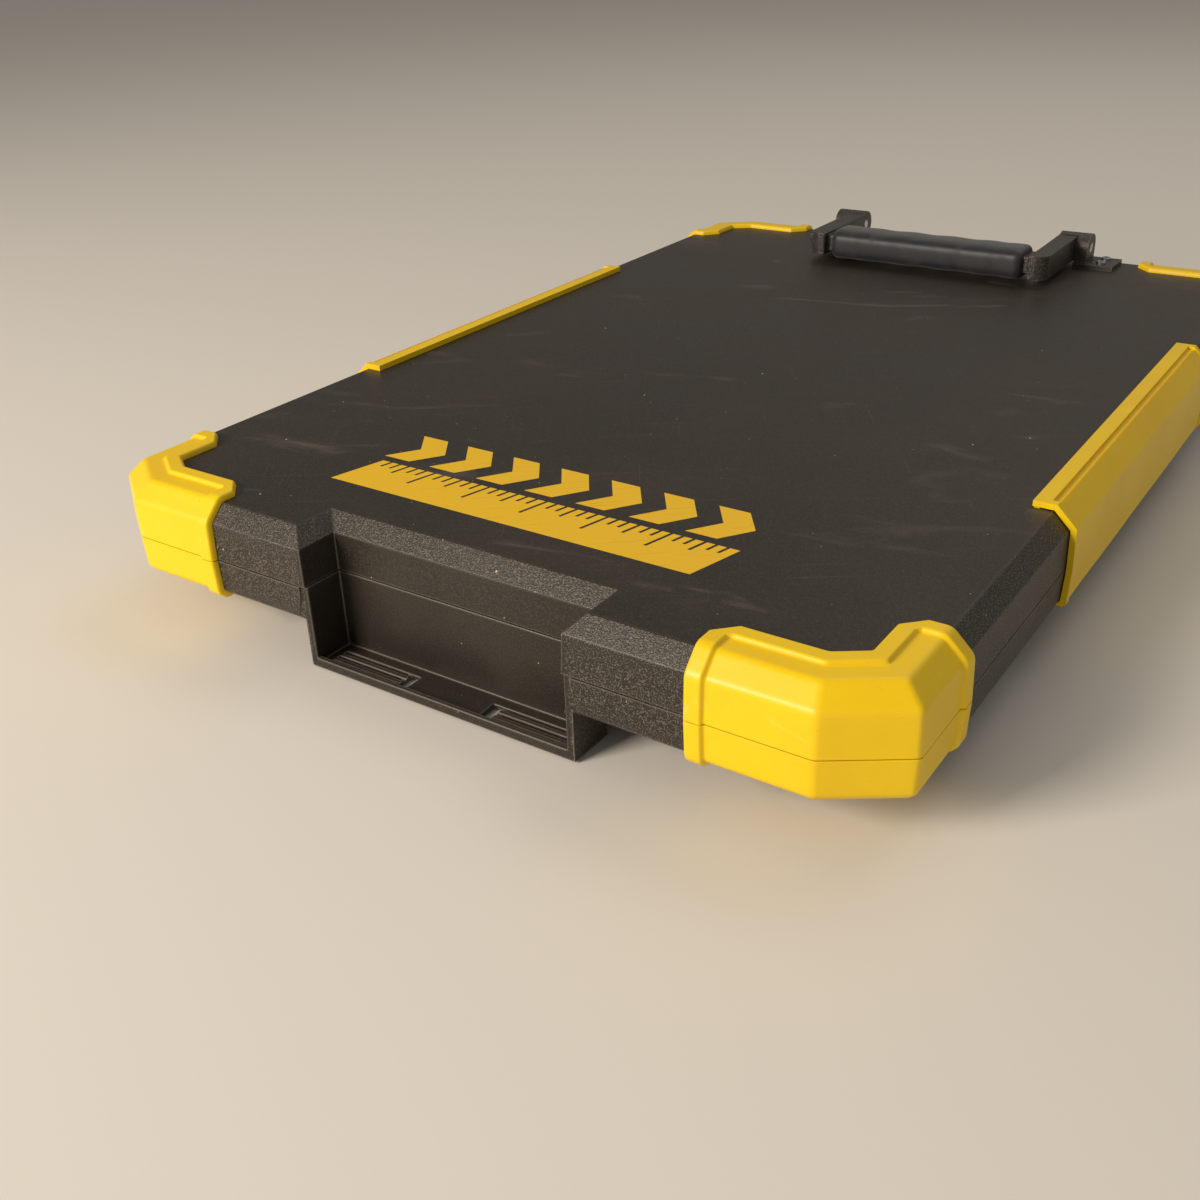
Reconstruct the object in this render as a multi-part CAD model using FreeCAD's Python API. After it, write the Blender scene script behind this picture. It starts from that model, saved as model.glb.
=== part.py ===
import FreeCAD, Part
import math
import os

# Flat carpenter's tool case: a black moulded base and lid, yellow corner bumpers split at the
# parting line, a yellow hinge guard down the left side, a yellow wrap-over latch bar down the
# right side and a folding carrying handle on the lid's far end.
# Millimetres. +X right, +Y from the near end to the far end, +Z up.
# The origin is on the floor under the middle of the case.

# ---- driving dimensions ---------------------------------------------------------------------
BODY_W = 400.0              # outside width of the two shells at the parting line
BODY_L = 600.0              # outside length of the two shells at the parting line
FOOT_PROUD = 0.8            # how far the rubber feet stand out of the tub floor
BAND_DROP = 22.0            # tub depth below the band
LOWER_BAND = 17.5           # band height below the parting line
UPPER_BAND = 25.0           # band height above the parting line
TOP_CHAMFER = 7.4           # 45 degree chamfer round the lid
BOTTOM_CHAMFER = 2.5        # 45 degree chamfer round the underside of the band
DRAFT_IN = 0.6              # how far a band face leans in over its height
CORNER_X = 29.0             # corner cut, along the short end
CORNER_Y = 19.0             # corner cut, along the long side
WALL = 3.2                  # shell wall
RIM_W = 9.0                 # thickened rim at the parting line, across
RIM_H = 4.0                 # thickened rim, high
PARTING_GAP = 0.4           # gap between the two shells when shut

RECESS_W = 134.0            # hand recess in each short end, across
RECESS_D = 21.0             # hand recess, deep
FIN_T = 3.5                 # thin wall each side of the recess, down to the floor
FIN_FLARE = 4.0             # slant of the band's face where it uncovers a fin's front edge
TRAY_T = 2.2                # plate across the foot of the recess
TRAY_SETBACK = 1.5          # the plate's front edge behind the end face
LIP_T = 2.0                 # turned-up front lip of the plate, thick
LIP_H = 4.6                 # turned-up front lip, high from the plate's underside

SLOT_INNER = 20.0           # strap slot, nearest end from the middle
SLOT_OUTER = 63.0           # strap slot, far end from the middle
SLOT_FRONT = 5.0            # strap slot, front edge behind the end face
SLOT_DEEP = 10.6            # strap slot, across
SLOT_BAR = 2.0              # bar across a strap slot, wide
SLOT_BAR_COUNT = 2
SLOT_WINDOW = 5.0           # open end of a strap slot left clear of bars, along it

TUB_HALF = 150.0            # the deep middle of the base, half its width
TUB_NECK_L = 62.0           # narrow part of the tub at each short end, long

GASKET_W = 3.0
GASKET_DEPTH = 2.6
GASKET_CLEAR = 0.1
GASKET_IN = 4.6             # groove's outer edge in from the shell's outside

RIM_PROUD = 3.0             # raised border of a yellow part, out of the shell
BUMPER_PROUD = 1.3          # sunk middle of a bumper, out of the shell
BUMPER_END_X = 79.0         # bumper leg on the short end, from the case's side
BUMPER_END_Y = 62.0         # bumper leg on the long side, from the case's end
BUMPER_BORDER = 8.0         # raised border across a leg's end, wide
BUMPER_FLANGE_BORDER = 7.0  # raised border along the flange's inner edge, wide
BUMPER_BEND = 12.5          # cut across the flange's inner corner, along the short end
BUMPER_SUNK_BEND = 14.5     # the same cut in the sunk middle's outline
BUMPER_FLANGE = 24.5        # reach of the bumper over the lid
BUMPER_CLIP = 9.0           # clipped end of a leg

STRIP_L = 244.0             # side guard and latch bar, long
STRIP_FLANGE = 17.0         # reach of a strip over the lid
STRIP_BORDER = 7.0          # raised border along the strip's inner edge
STRIP_END_BORDER = 4.0      # raised border across each end
STRIP_PROUD = 2.4           # plain side of a strip, out of the shell
STRIP_TOP_PROUD = 1.4       # the strip's sunk top behind its border, out of the shell
LATCH_CLEAR = 0.4           # latch bar to shells

KNUCKLE_R = 3.0
PIN_R = 1.5
PIN_CLEAR = 0.05            # running fit, on the radius
KNUCKLE_GAP = 0.4           # between neighbouring knuckles
KNUCKLE_COUNT = 5
HINGE_OUT = 3.4             # lid hinge axis outside the shell's side
LATCH_PIN_IN = 2.8          # latch pin inside the shell's side
LATCH_PIN_UP = 3.3          # latch pin above the underside of the band
REBATE_DEEP = 6.5           # rebate for the latch knuckles, into the side
REBATE_HIGH = 8.0           # rebate, up from the underside of the band
LATCH_LIP_T = 2.4           # lip under the latch bar's inner edge
LATCH_LIP_DOWN = 0.6        # lip below the lid's top
LATCH_GROOVE_DEEP = 1.1
LATCH_GROOVE_W = 6.4

SCREW_R = 1.5
SCREW_HEAD_R = 3.0
SCREW_HEAD_H = 1.8
SCREW_CLEAR = 0.05
SCREW_L = 7.0               # lower screws, under the head
LID_SCREW_L = 5.2           # lid screws, under the head
SCREW_HEAD_EASE = 0.6       # chamfer round the head
CROSS_ARM = 1.65            # cross recess, from the middle to an arm's end
CROSS_HALF_T = 0.35         # cross recess, half an arm's width
CROSS_DEEP = 1.08
SCREW_FROM_CLIP_X = 8.0     # bumper screw beyond a leg's clipped end, on the short end
SCREW_FROM_CLIP_Y = 6.0     # the same on the long side
SCREW_BORDER_IN = 3.5       # bumper screw in from the flange's inner edge
GUARD_SCREW_SHARES = (-0.4, 0.0, 0.4)   # hinge guard screws, as shares of its length

HANDLE_W = 165.0            # over the arms
HANDLE_ARM_T = 12.0
HANDLE_ARM_H = 15.0
HANDLE_REACH = 56.0         # pivot axis to the middle of the grip
HANDLE_PIVOT_IN = 22.0      # pivot axis inside the far end
HANDLE_PIVOT_UP = 11.5      # pivot axis above the lid
HANDLE_EYE_R = 9.0
HANDLE_CORNER_R = 8.4       # rounding of the bow's outside corners
HANDLE_CORE_Y = 17.0
HANDLE_CORE_Z = 11.0
GRIP_Y = 28.0
GRIP_Z = 20.0
GRIP_L = 132.0
GRIP_ROUND = 7.0
HANDLE_PIN_R = 3.0
BRACKET_T = 8.0             # bracket ear
BRACKET_SIDE_CLEAR = 0.5    # handle arm to bracket ear
BRACKET_PLATE_L = 24.0
BRACKET_PLATE_W = 26.0
BRACKET_PLATE_T = 3.0

FOOT_R = 9.0
FOOT_T = 2.2
FOOT_X = 125.0
FOOT_Y = 190.0

DIVIDER_T = 2.4
DIVIDER_CLEAR = 0.25
LONG_DIVIDER_X = 48.0
CROSS_DIVIDER_Y = 95.0
LONG_DIVIDER_PAST = 60.0    # long divider beyond each cross divider
DIVIDER_H = 30.0
GUIDE_T = 2.0               # guide ribs that hold a cross divider's ends
GUIDE_REACH = 5.0

# ---- levels and places worked out from them -------------------------------------------------
HALF_W = BODY_W / 2
HALF_L = BODY_L / 2
TUB_FLOOR = FOOT_PROUD
BAND_Z = TUB_FLOOR + BAND_DROP
PARTING_Z = BAND_Z + LOWER_BAND
BASE_TOP = PARTING_Z - PARTING_GAP / 2
LID_BOTTOM = PARTING_Z + PARTING_GAP / 2
TOP_Z = PARTING_Z + UPPER_BAND
CHAMFER_GAIN = 2 - math.sqrt(2)     # growth of a 45 degree chamfer per unit of outward growth
HINGE_X = -(HALF_W + HINGE_OUT)
LATCH_PIN_X = HALF_W - LATCH_PIN_IN
LATCH_PIN_Z = BAND_Z + LATCH_PIN_UP
HANDLE_Y = HALF_L - HANDLE_PIVOT_IN
HANDLE_Z = TOP_Z + HANDLE_PIVOT_UP
FAR_OUT = 30.0                      # how far a cutting block runs past the case
OVERRUN = 1.0                       # how far a cut runs out, and a joined piece runs in
HALF_OVERRUN = OVERRUN / 2

Z_AXIS = FreeCAD.Vector(0, 0, 1)
DOWN = FreeCAD.Vector(0, 0, -1)
Y_AXIS = FreeCAD.Vector(0, 1, 0)
X_AXIS = FreeCAD.Vector(1, 0, 0)
CENTRE = FreeCAD.Vector(0, 0, 0)


# ---- plane geometry -------------------------------------------------------------------------
def grown(outline, distance):
    """The anticlockwise outline with every side moved outwards, its corners kept sharp."""
    result = []
    count = len(outline)
    for i in range(count):
        before, here, after = outline[i - 1], outline[i], outline[(i + 1) % count]
        first = (here[0] - before[0], here[1] - before[1])
        second = (after[0] - here[0], after[1] - here[1])
        first_len, second_len = math.hypot(*first), math.hypot(*second)
        n1 = (first[1] / first_len, -first[0] / first_len)
        n2 = (second[1] / second_len, -second[0] / second_len)
        share = distance / (1 + n1[0] * n2[0] + n1[1] * n2[1])
        result.append((here[0] + share * (n1[0] + n2[0]), here[1] + share * (n1[1] + n2[1])))
    return result


def mirrored_outline(right_side):
    """A whole outline from its right-hand half, given from the near end to the far end."""
    return right_side + [(-x, y) for x, y in reversed(right_side)]


def case_outline():
    """The shells' plan: a rectangle with cut corners and a hand recess in each short end."""
    recess = RECESS_W / 2
    near_half = [
        (recess, -HALF_L + RECESS_D),
        (recess, -HALF_L),
        (HALF_W - CORNER_X, -HALF_L),
        (HALF_W, -HALF_L + CORNER_Y),
    ]
    return mirrored_outline(near_half + [(x, -y) for x, y in reversed(near_half)])


def tub_outline():
    """The deep middle of the base: a narrow neck behind each recess, wide in between."""
    neck = RECESS_W / 2
    slope = TUB_HALF - neck
    near_half = [
        (neck, -HALF_L + RECESS_D),
        (neck, -HALF_L + TUB_NECK_L),
        (TUB_HALF, -HALF_L + TUB_NECK_L + slope / 2),
    ]
    return mirrored_outline(near_half + [(x, -y) for x, y in reversed(near_half)])


# ---- solid helpers --------------------------------------------------------------------------
def flat_face(points):
    """A flat face through the given vectors, in order."""
    return Part.Face(Part.makePolygon(points + [points[0]]))


def stacked(rings):
    """A closed solid through (outline, height) rings, lowest first, with flat sides."""
    loops = [[FreeCAD.Vector(x, y, z) for x, y in outline] for outline, z in rings]
    faces = [flat_face(loops[0]), flat_face(loops[-1])]
    for low, high in zip(loops, loops[1:]):
        for i in range(len(low)):
            j = (i + 1) % len(low)
            faces.append(flat_face([low[i], low[j], high[j], high[i]]))
    solid = Part.makeSolid(Part.makeShell(faces))
    if solid.Volume < 0:
        solid.reverse()
    return solid


def prism(outline, low, high):
    """An upright block on the given outline."""
    return stacked([(outline, low), (outline, high)])


def block(x_span, y_span, z_span):
    """A box between the given limits."""
    size = [max(span) - min(span) for span in (x_span, y_span, z_span)]
    corner = FreeCAD.Vector(min(x_span), min(y_span), min(z_span))
    return Part.makeBox(size[0], size[1], size[2], corner)


def rod(radius, length, start, direction):
    """A cylinder from start along direction."""
    return Part.makeCylinder(radius, length, start, direction)


def joined(shapes):
    """One solid from touching or overlapping shapes."""
    whole = shapes[0]
    if len(shapes) > 1:
        whole = whole.fuse(shapes[1:])
    return whole.removeSplitter()


def mirror_x(shape):
    """The shape on the other side of the case."""
    return shape.mirror(CENTRE, X_AXIS)


def mirror_y(shape):
    """The shape at the other end of the case."""
    return shape.mirror(CENTRE, Y_AXIS)


# ---- outside forms of the two shells --------------------------------------------------------
CASE = case_outline()


def lid_form(growth, low=LID_BOTTOM):
    """The lid's outside, grown outwards on every face but the parting face."""
    side = grown(CASE, growth)
    chamfer = TOP_CHAMFER + CHAMFER_GAIN * growth
    top = TOP_Z + growth
    return stacked([
        (side, low),
        (grown(side, -DRAFT_IN), top - chamfer),
        (grown(side, -DRAFT_IN - chamfer), top),
    ])


def base_form(growth, high=BASE_TOP):
    """The outside of the base's band, grown outwards on every face but the parting face."""
    side = grown(CASE, growth)
    chamfer = BOTTOM_CHAMFER + CHAMFER_GAIN * growth
    bottom = BAND_Z - growth
    return stacked([
        (grown(side, -DRAFT_IN - chamfer), bottom),
        (grown(side, -DRAFT_IN), bottom + chamfer),
        (side, high),
    ])


# ---- shells ---------------------------------------------------------------------------------
def fins_and_tray():
    """Near recess's back wall and fins, down to the floor, and the slotted plate between them."""
    half = RECESS_W / 2
    across = (-half - FIN_T, half + FIN_T)
    front = -HALF_L + TRAY_SETBACK
    back = -HALF_L + RECESS_D + WALL
    fin = block((half, half + FIN_T), (front, back), (TUB_FLOOR, BASE_TOP))
    rear = block(across, (back - WALL, back), (TUB_FLOOR, BASE_TOP))
    plate = block(across, (front, back), (TUB_FLOOR, TUB_FLOOR + TRAY_T))
    lip = block(across, (front, front + LIP_T), (TUB_FLOOR, TUB_FLOOR + LIP_H))
    slots = []
    bars = []
    slot_front = -HALF_L + SLOT_FRONT
    pitch = (SLOT_DEEP - SLOT_BAR_COUNT * SLOT_BAR) / (SLOT_BAR_COUNT + 1) + SLOT_BAR
    bar_front = slot_front + pitch - SLOT_BAR
    for side in (-1, 1):
        span = (side * SLOT_INNER, side * SLOT_OUTER)
        bar_span = (side * (SLOT_INNER + SLOT_WINDOW), side * SLOT_OUTER)
        depth = (slot_front, slot_front + SLOT_DEEP)
        slots.append(block(span, depth, (TUB_FLOOR - OVERRUN, TUB_FLOOR + TRAY_T + OVERRUN)))
        for i in range(SLOT_BAR_COUNT):
            start = bar_front + i * pitch
            height = (TUB_FLOOR, TUB_FLOOR + TRAY_T)
            bars.append(block(bar_span, (start, start + SLOT_BAR), height))
        tie_x = side * (SLOT_INNER + SLOT_WINDOW)
        tie = (tie_x, tie_x + side * SLOT_BAR)
        bars.append(block(tie, depth, (TUB_FLOOR, TUB_FLOOR + TRAY_T / 2)))
    walls = joined([plate.cut(slots), fin, mirror_x(fin), rear, lip])
    return joined([walls] + bars)


def fin_notches():
    """Shallow notches in the base's near face that uncover the fins' front edges."""
    half = RECESS_W / 2
    start = -HALF_L - OVERRUN
    outline = [
        (half - OVERRUN, BASE_TOP + OVERRUN),
        (half + FIN_T, BASE_TOP + OVERRUN),
        (half + FIN_T, BASE_TOP - FIN_T),
        (half + FIN_T + FIN_FLARE, BAND_Z - OVERRUN),
        (half - OVERRUN, BAND_Z - OVERRUN),
    ]
    face = flat_face([FreeCAD.Vector(x, start, z) for x, z in outline])
    notch = face.extrude(FreeCAD.Vector(0, TRAY_SETBACK + OVERRUN, 0))
    return [notch, mirror_x(notch)]


def gasket_ring(inset, width, low, high):
    """A band that follows the case's plan, set in from its outside."""
    outer = prism(grown(CASE, -inset), low, high)
    return outer.cut(prism(grown(CASE, -inset - width), low, high))


def divider_guides():
    """Pairs of upright ribs on the tub's side walls that hold the cross dividers."""
    guides = []
    offset = DIVIDER_T / 2 + DIVIDER_CLEAR
    foot_z = TUB_FLOOR + WALL - HALF_OVERRUN
    for side in (-1, 1):
        wall_x = side * (TUB_HALF - WALL + HALF_OVERRUN)
        inner_x = side * (TUB_HALF - WALL - GUIDE_REACH)
        for divider_y in (-CROSS_DIVIDER_Y, CROSS_DIVIDER_Y):
            for way in (-1, 1):
                near = divider_y + way * offset
                span = (near, near + way * GUIDE_T)
                guides.append(block((wall_x, inner_x), span, (foot_z, BAND_Z)))
    return guides


def latch_rebate():
    """The long notch in the band's right-hand lower edge where the latch knuckles lie."""
    half = STRIP_L / 2 + LATCH_CLEAR
    return block((HALF_W - REBATE_DEEP, HALF_W + FAR_OUT), (-half, half),
                 (BAND_Z - FAR_OUT / 2, BAND_Z + REBATE_HIGH))


def latch_backing():
    """Thickening inside the band that closes the wall behind the latch rebate."""
    half = STRIP_L / 2 + LATCH_CLEAR + WALL
    return block((HALF_W - REBATE_DEEP - WALL, HALF_W - WALL / 2), (-half, half),
                 (BAND_Z + WALL / 2, BAND_Z + REBATE_HIGH + WALL))


def base_shell():
    """Lower shell: band, deep tub, end fins with slotted plates, rim groove and latch lugs."""
    tub = tub_outline()
    end_parts = fins_and_tray()
    outside = joined([base_form(0), prism(tub, TUB_FLOOR, BAND_Z + WALL),
                      end_parts, mirror_y(end_parts)])
    inner = grown(CASE, -WALL - DRAFT_IN)
    rim = grown(CASE, -RIM_W)
    step = RIM_W - WALL - DRAFT_IN
    band_space = stacked([
        (inner, BAND_Z + WALL),
        (inner, BASE_TOP - RIM_H - step),
        (rim, BASE_TOP - RIM_H),
        (rim, BASE_TOP + OVERRUN),
    ])
    tub_space = prism(grown(tub, -WALL), TUB_FLOOR + WALL, BAND_Z + WALL + OVERRUN)
    hollow = outside.cut([band_space, tub_space])
    shell = joined([hollow, latch_backing()] + divider_guides())
    groove = gasket_ring(GASKET_IN, GASKET_W, BASE_TOP - GASKET_DEPTH, BASE_TOP + OVERRUN)
    feet = [rod(FOOT_R + GASKET_CLEAR, FOOT_T - FOOT_PROUD, FreeCAD.Vector(x, y, TUB_FLOOR),
                Z_AXIS) for x, y in foot_places()]
    holes = [screw_hole(place, Z_AXIS, SCREW_L) for place in lower_screw_places()]
    near_notches = fin_notches()
    notches = near_notches + [mirror_y(notch) for notch in near_notches]
    shell = shell.cut([groove, latch_rebate()] + feet + holes + notches)
    lugs = [latch_knuckle(span, -1) for span in knuckle_spans()[0::2]]
    return joined([shell] + lugs).cut(latch_bore())


def lid_shell():
    """Upper shell: chamfered cover with a thickened rim and a groove for the latch lip."""
    inner = grown(CASE, -WALL)
    rim = grown(CASE, -RIM_W)
    step = RIM_W - WALL
    chamfer = TOP_CHAMFER - CHAMFER_GAIN * WALL
    ceiling = TOP_Z - WALL
    space = stacked([
        (rim, LID_BOTTOM - OVERRUN),
        (rim, LID_BOTTOM + RIM_H),
        (inner, LID_BOTTOM + RIM_H + step),
        (inner, ceiling - chamfer),
        (grown(inner, -chamfer), ceiling),
    ])
    half = STRIP_L / 2 + LATCH_CLEAR
    groove_x = HALF_W - STRIP_FLANGE
    groove = block((groove_x, groove_x + LATCH_GROOVE_W), (-half, half),
                   (TOP_Z - LATCH_GROOVE_DEEP, TOP_Z + OVERRUN))
    holes = [screw_hole(place, Z_AXIS, LID_SCREW_L) for place in lid_screw_places()]
    holes += [screw_hole(place, DOWN, LID_SCREW_L) for place in bracket_screw_places()]
    return lid_form(0).cut([space, groove] + holes)


def lid_seal():
    """Rubber cord lying in the groove of the base's rim."""
    low = BASE_TOP - GASKET_DEPTH
    high = LID_BOTTOM - GASKET_CLEAR
    return gasket_ring(GASKET_IN + GASKET_CLEAR, GASKET_W - 2 * GASKET_CLEAR, low, high)


# ---- yellow corner bumpers ------------------------------------------------------------------
def bumper_plan(end_x, end_y, flange, clip, corner_gap):
    """Near-right corner plan of a bumper region: two legs round the corner, ends clipped."""
    inner_x, inner_y = HALF_W - flange, -HALF_L + flange
    left, far = HALF_W - end_x, -HALF_L + end_y
    out_x, out_y = HALF_W + FAR_OUT, -HALF_L - FAR_OUT
    bend = TOP_CHAMFER
    return [
        (left, out_y), (out_x, out_y), (out_x, far), (inner_x + clip, far),
        (inner_x, far - clip), (inner_x, inner_y + bend),
        (inner_x - corner_gap, inner_y), (left + clip, inner_y), (left, inner_y - clip),
    ]


def bumper_cut(form, border_form, low, high):
    """What is taken off inside a bumper's raised border to leave its sunk middle."""
    sunk = bumper_plan(BUMPER_END_X - BUMPER_BORDER, BUMPER_END_Y - BUMPER_BORDER,
                       BUMPER_FLANGE - BUMPER_FLANGE_BORDER, BUMPER_CLIP / 2, BUMPER_SUNK_BEND)
    return border_form.common(prism(sunk, low, high)).cut(form)


def bumper(form, screw_holes):
    """One half of the near-right bumper, above or below the parting line."""
    plan = bumper_plan(BUMPER_END_X, BUMPER_END_Y, BUMPER_FLANGE, BUMPER_CLIP, BUMPER_BEND)
    low, high = -FAR_OUT, TOP_Z + FAR_OUT
    outer = form(RIM_PROUD).common(prism(plan, low, high))
    sunk = bumper_cut(form(BUMPER_PROUD), form(RIM_PROUD + OVERRUN), low, high)
    return outer.cut([sunk, form(0)] + screw_holes)


def four_corners(near_right):
    """The near-right shape and its mirror images, by corner name."""
    near_left = mirror_x(near_right)
    return {
        "near_right": near_right,
        "near_left": near_left,
        "far_right": mirror_y(near_right),
        "far_left": mirror_y(near_left),
    }


# ---- screws ---------------------------------------------------------------------------------
def corner_screw_xy():
    """Screw places under one bumper's border, near right."""
    inset = BUMPER_FLANGE - SCREW_BORDER_IN
    return [
        (HALF_W - BUMPER_END_X + BUMPER_CLIP + SCREW_FROM_CLIP_X, -HALF_L + inset),
        (HALF_W - inset, -HALF_L + BUMPER_END_Y - BUMPER_CLIP - SCREW_FROM_CLIP_Y),
    ]


def mirrored_places(places, z):
    """The same places in all four corners, as vectors at height z."""
    return [FreeCAD.Vector(side * x, end * y, z)
            for x, y in places for side in (1, -1) for end in (1, -1)]


def guard_screw_xy():
    """Screw places along the left-hand hinge guard's flange."""
    x = -(HALF_W - STRIP_FLANGE + STRIP_BORDER / 2)
    return [(x, share * STRIP_L) for share in GUARD_SCREW_SHARES]


def lower_screw_places():
    """Under-heads of the screws that hold the lower yellow parts, from below."""
    places = mirrored_places(corner_screw_xy(), BAND_Z - RIM_PROUD)
    return places + [FreeCAD.Vector(x, y, BAND_Z - RIM_PROUD) for x, y in guard_screw_xy()]


def lid_screw_places():
    """Under-heads of the screws that hold the upper yellow parts, from inside the lid."""
    places = mirrored_places(corner_screw_xy(), TOP_Z - WALL)
    return places + [FreeCAD.Vector(x, y, TOP_Z - WALL) for x, y in guard_screw_xy()]


def bracket_screw_places():
    """Under-heads of the screws that hold the handle brackets, from above."""
    x = HANDLE_W / 2 + BRACKET_SIDE_CLEAR + BRACKET_T + (BRACKET_PLATE_W - BRACKET_T) / 2
    return [FreeCAD.Vector(side * x, HANDLE_Y + way * BRACKET_PLATE_L / 4, TOP_Z + BRACKET_PLATE_T)
            for side in (-1, 1) for way in (-1, 1)]


def screw_hole(place, direction, length):
    """Hole for one screw's shank."""
    return rod(SCREW_R + SCREW_CLEAR, length + SCREW_CLEAR, place, direction)


def screw(place, direction, length):
    """Pan-head screw with a cross recess, its shank pointing along direction."""
    shank = rod(SCREW_R, length, place, direction)
    back = place - direction * SCREW_HEAD_H
    head = rod(SCREW_HEAD_R, SCREW_HEAD_H, back, direction)
    rim = [edge for edge in head.Edges if edge.BoundBox.Center.distanceToPoint(back) < 0.1]
    head = head.makeChamfer(SCREW_HEAD_EASE, rim)
    low, high = sorted((back.z, (back + direction * CROSS_DEEP).z))
    cross = [block((back.x - a, back.x + a), (back.y - b, back.y + b), (low, high))
             for a, b in ((CROSS_ARM, CROSS_HALF_T), (CROSS_HALF_T, CROSS_ARM))]
    return joined([shank, head]).cut(cross)


def screws(places, direction, length):
    """Identical screws as one group of solids."""
    return Part.makeCompound([screw(place, direction, length) for place in places])


# ---- knuckles, hinge guard and latch bar ----------------------------------------------------
def knuckle_spans():
    """Start and end along Y of each knuckle of a strip, near end first."""
    pitch = STRIP_L / KNUCKLE_COUNT
    start = -STRIP_L / 2
    return [(start + i * pitch + KNUCKLE_GAP / 2, start + (i + 1) * pitch - KNUCKLE_GAP / 2)
            for i in range(KNUCKLE_COUNT)]


def barrel(x, z, span, radius):
    """A knuckle's round body along Y."""
    return rod(radius, span[1] - span[0], FreeCAD.Vector(x, span[0], z), Y_AXIS)


def latch_knuckle(span, side):
    """A knuckle on the latch pin with its web: side 1 reaches the bar, side -1 the base."""
    if side > 0:
        reach = LATCH_PIN_IN + LATCH_CLEAR + OVERRUN
        web_foot = LATCH_PIN_Z - KNUCKLE_R
    else:
        reach = REBATE_DEEP - LATCH_PIN_IN + OVERRUN
        web_foot = LATCH_PIN_Z
    web = block((LATCH_PIN_X, LATCH_PIN_X + side * reach), span,
                (web_foot, LATCH_PIN_Z + KNUCKLE_R))
    return joined([barrel(LATCH_PIN_X, LATCH_PIN_Z, span, KNUCKLE_R), web])


def full_span(extra):
    """The strip's whole length along Y, longer by extra at each end."""
    return (-STRIP_L / 2 - extra, STRIP_L / 2 + extra)


def latch_bore():
    """Bore for the latch pin."""
    return barrel(LATCH_PIN_X, LATCH_PIN_Z, full_span(OVERRUN), PIN_R + PIN_CLEAR)


def hinge_bore():
    """Bore for the hinge pin."""
    return barrel(HINGE_X, PARTING_Z, full_span(OVERRUN), PIN_R + PIN_CLEAR)


def strip_region(inset_x, inset_y, side):
    """Block round one side strip, set in from its inner edge and its ends."""
    inner = HALF_W - STRIP_FLANGE + inset_x
    half = STRIP_L / 2 - inset_y
    return block((side * inner, side * (HALF_W + FAR_OUT)), (-half, half),
                 (-FAR_OUT, TOP_Z + FAR_OUT))


def strip_half(form, side, clearance):
    """One shell's half of a side strip: raised border, sunk plain middle, hollow behind."""
    outer = form(RIM_PROUD).common(strip_region(0, 0, side))
    middle = strip_region(STRIP_BORDER, STRIP_END_BORDER, side)
    over_middle = form(RIM_PROUD + OVERRUN).common(middle)
    sunk = over_middle.cut(form(STRIP_TOP_PROUD))
    side_face = over_middle.cut(form(STRIP_PROUD))
    top_only = block((side * (HALF_W - STRIP_FLANGE), side * (HALF_W - TOP_CHAMFER + OVERRUN)),
                     full_span(OVERRUN), (TOP_Z, TOP_Z + FAR_OUT))
    return outer.cut([side_face, sunk.common(top_only), form(clearance)])


def hinge_guard_upper():
    """Lid's half of the left-hand guard with its hinge knuckles."""
    half = strip_half(lid_form, -1, 0)
    others = [barrel(HINGE_X, PARTING_Z, span, KNUCKLE_R + KNUCKLE_GAP)
              for span in knuckle_spans()[0::2]]
    own = [barrel(HINGE_X, PARTING_Z, span, KNUCKLE_R) for span in knuckle_spans()[1::2]]
    holes = [screw_hole(place, Z_AXIS, LID_SCREW_L) for place in lid_screw_places()]
    return joined([half.cut(others)] + own).cut([hinge_bore()] + holes)


def hinge_guard_lower():
    """Base's half of the left-hand guard with its hinge knuckles."""
    half = strip_half(base_form, -1, 0)
    others = [barrel(HINGE_X, PARTING_Z, span, KNUCKLE_R + KNUCKLE_GAP)
              for span in knuckle_spans()[1::2]]
    own = [barrel(HINGE_X, PARTING_Z, span, KNUCKLE_R) for span in knuckle_spans()[0::2]]
    holes = [screw_hole(place, Z_AXIS, SCREW_L) for place in lower_screw_places()]
    return joined([half.cut(others)] + own).cut([hinge_bore()] + holes)


def latch_bar():
    """Right-hand bar: hooks over the lid's edge and turns on a pin low in the base."""
    upper = strip_half(lambda growth: lid_form(growth, PARTING_Z), 1, LATCH_CLEAR)
    side_only = block((HALF_W - LATCH_PIN_IN, HALF_W + FAR_OUT), full_span(1),
                      (BAND_Z, PARTING_Z))
    lower = strip_half(lambda growth: base_form(growth, PARTING_Z), 1, LATCH_CLEAR)
    lower = lower.common(side_only)
    lip_x = HALF_W - STRIP_FLANGE + LATCH_CLEAR
    lip = block((lip_x, lip_x + LATCH_LIP_T), full_span(-OVERRUN),
                (TOP_Z - LATCH_LIP_DOWN, TOP_Z + LATCH_CLEAR + OVERRUN))
    knuckles = [latch_knuckle(span, 1) for span in knuckle_spans()[1::2]]
    lug_room = [barrel(LATCH_PIN_X, LATCH_PIN_Z, span, KNUCKLE_R + KNUCKLE_GAP / 2)
                for span in knuckle_spans()[0::2]]
    body = joined([upper, lower, lip]).cut(lug_room)
    return joined([body] + knuckles).cut(latch_bore())


def strip_pin(x, z):
    """Steel pin through a strip's knuckles."""
    return barrel(x, z, full_span(-HALF_OVERRUN), PIN_R)


# ---- handle ---------------------------------------------------------------------------------
def handle_core(half_length):
    """The bar inside the grip."""
    grip_y = HANDLE_Y - HANDLE_REACH
    return block((-half_length, half_length),
                 (grip_y - HANDLE_CORE_Y / 2, grip_y + HANDLE_CORE_Y / 2),
                 (HANDLE_Z - HANDLE_CORE_Z / 2, HANDLE_Z + HANDLE_CORE_Z / 2))


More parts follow.
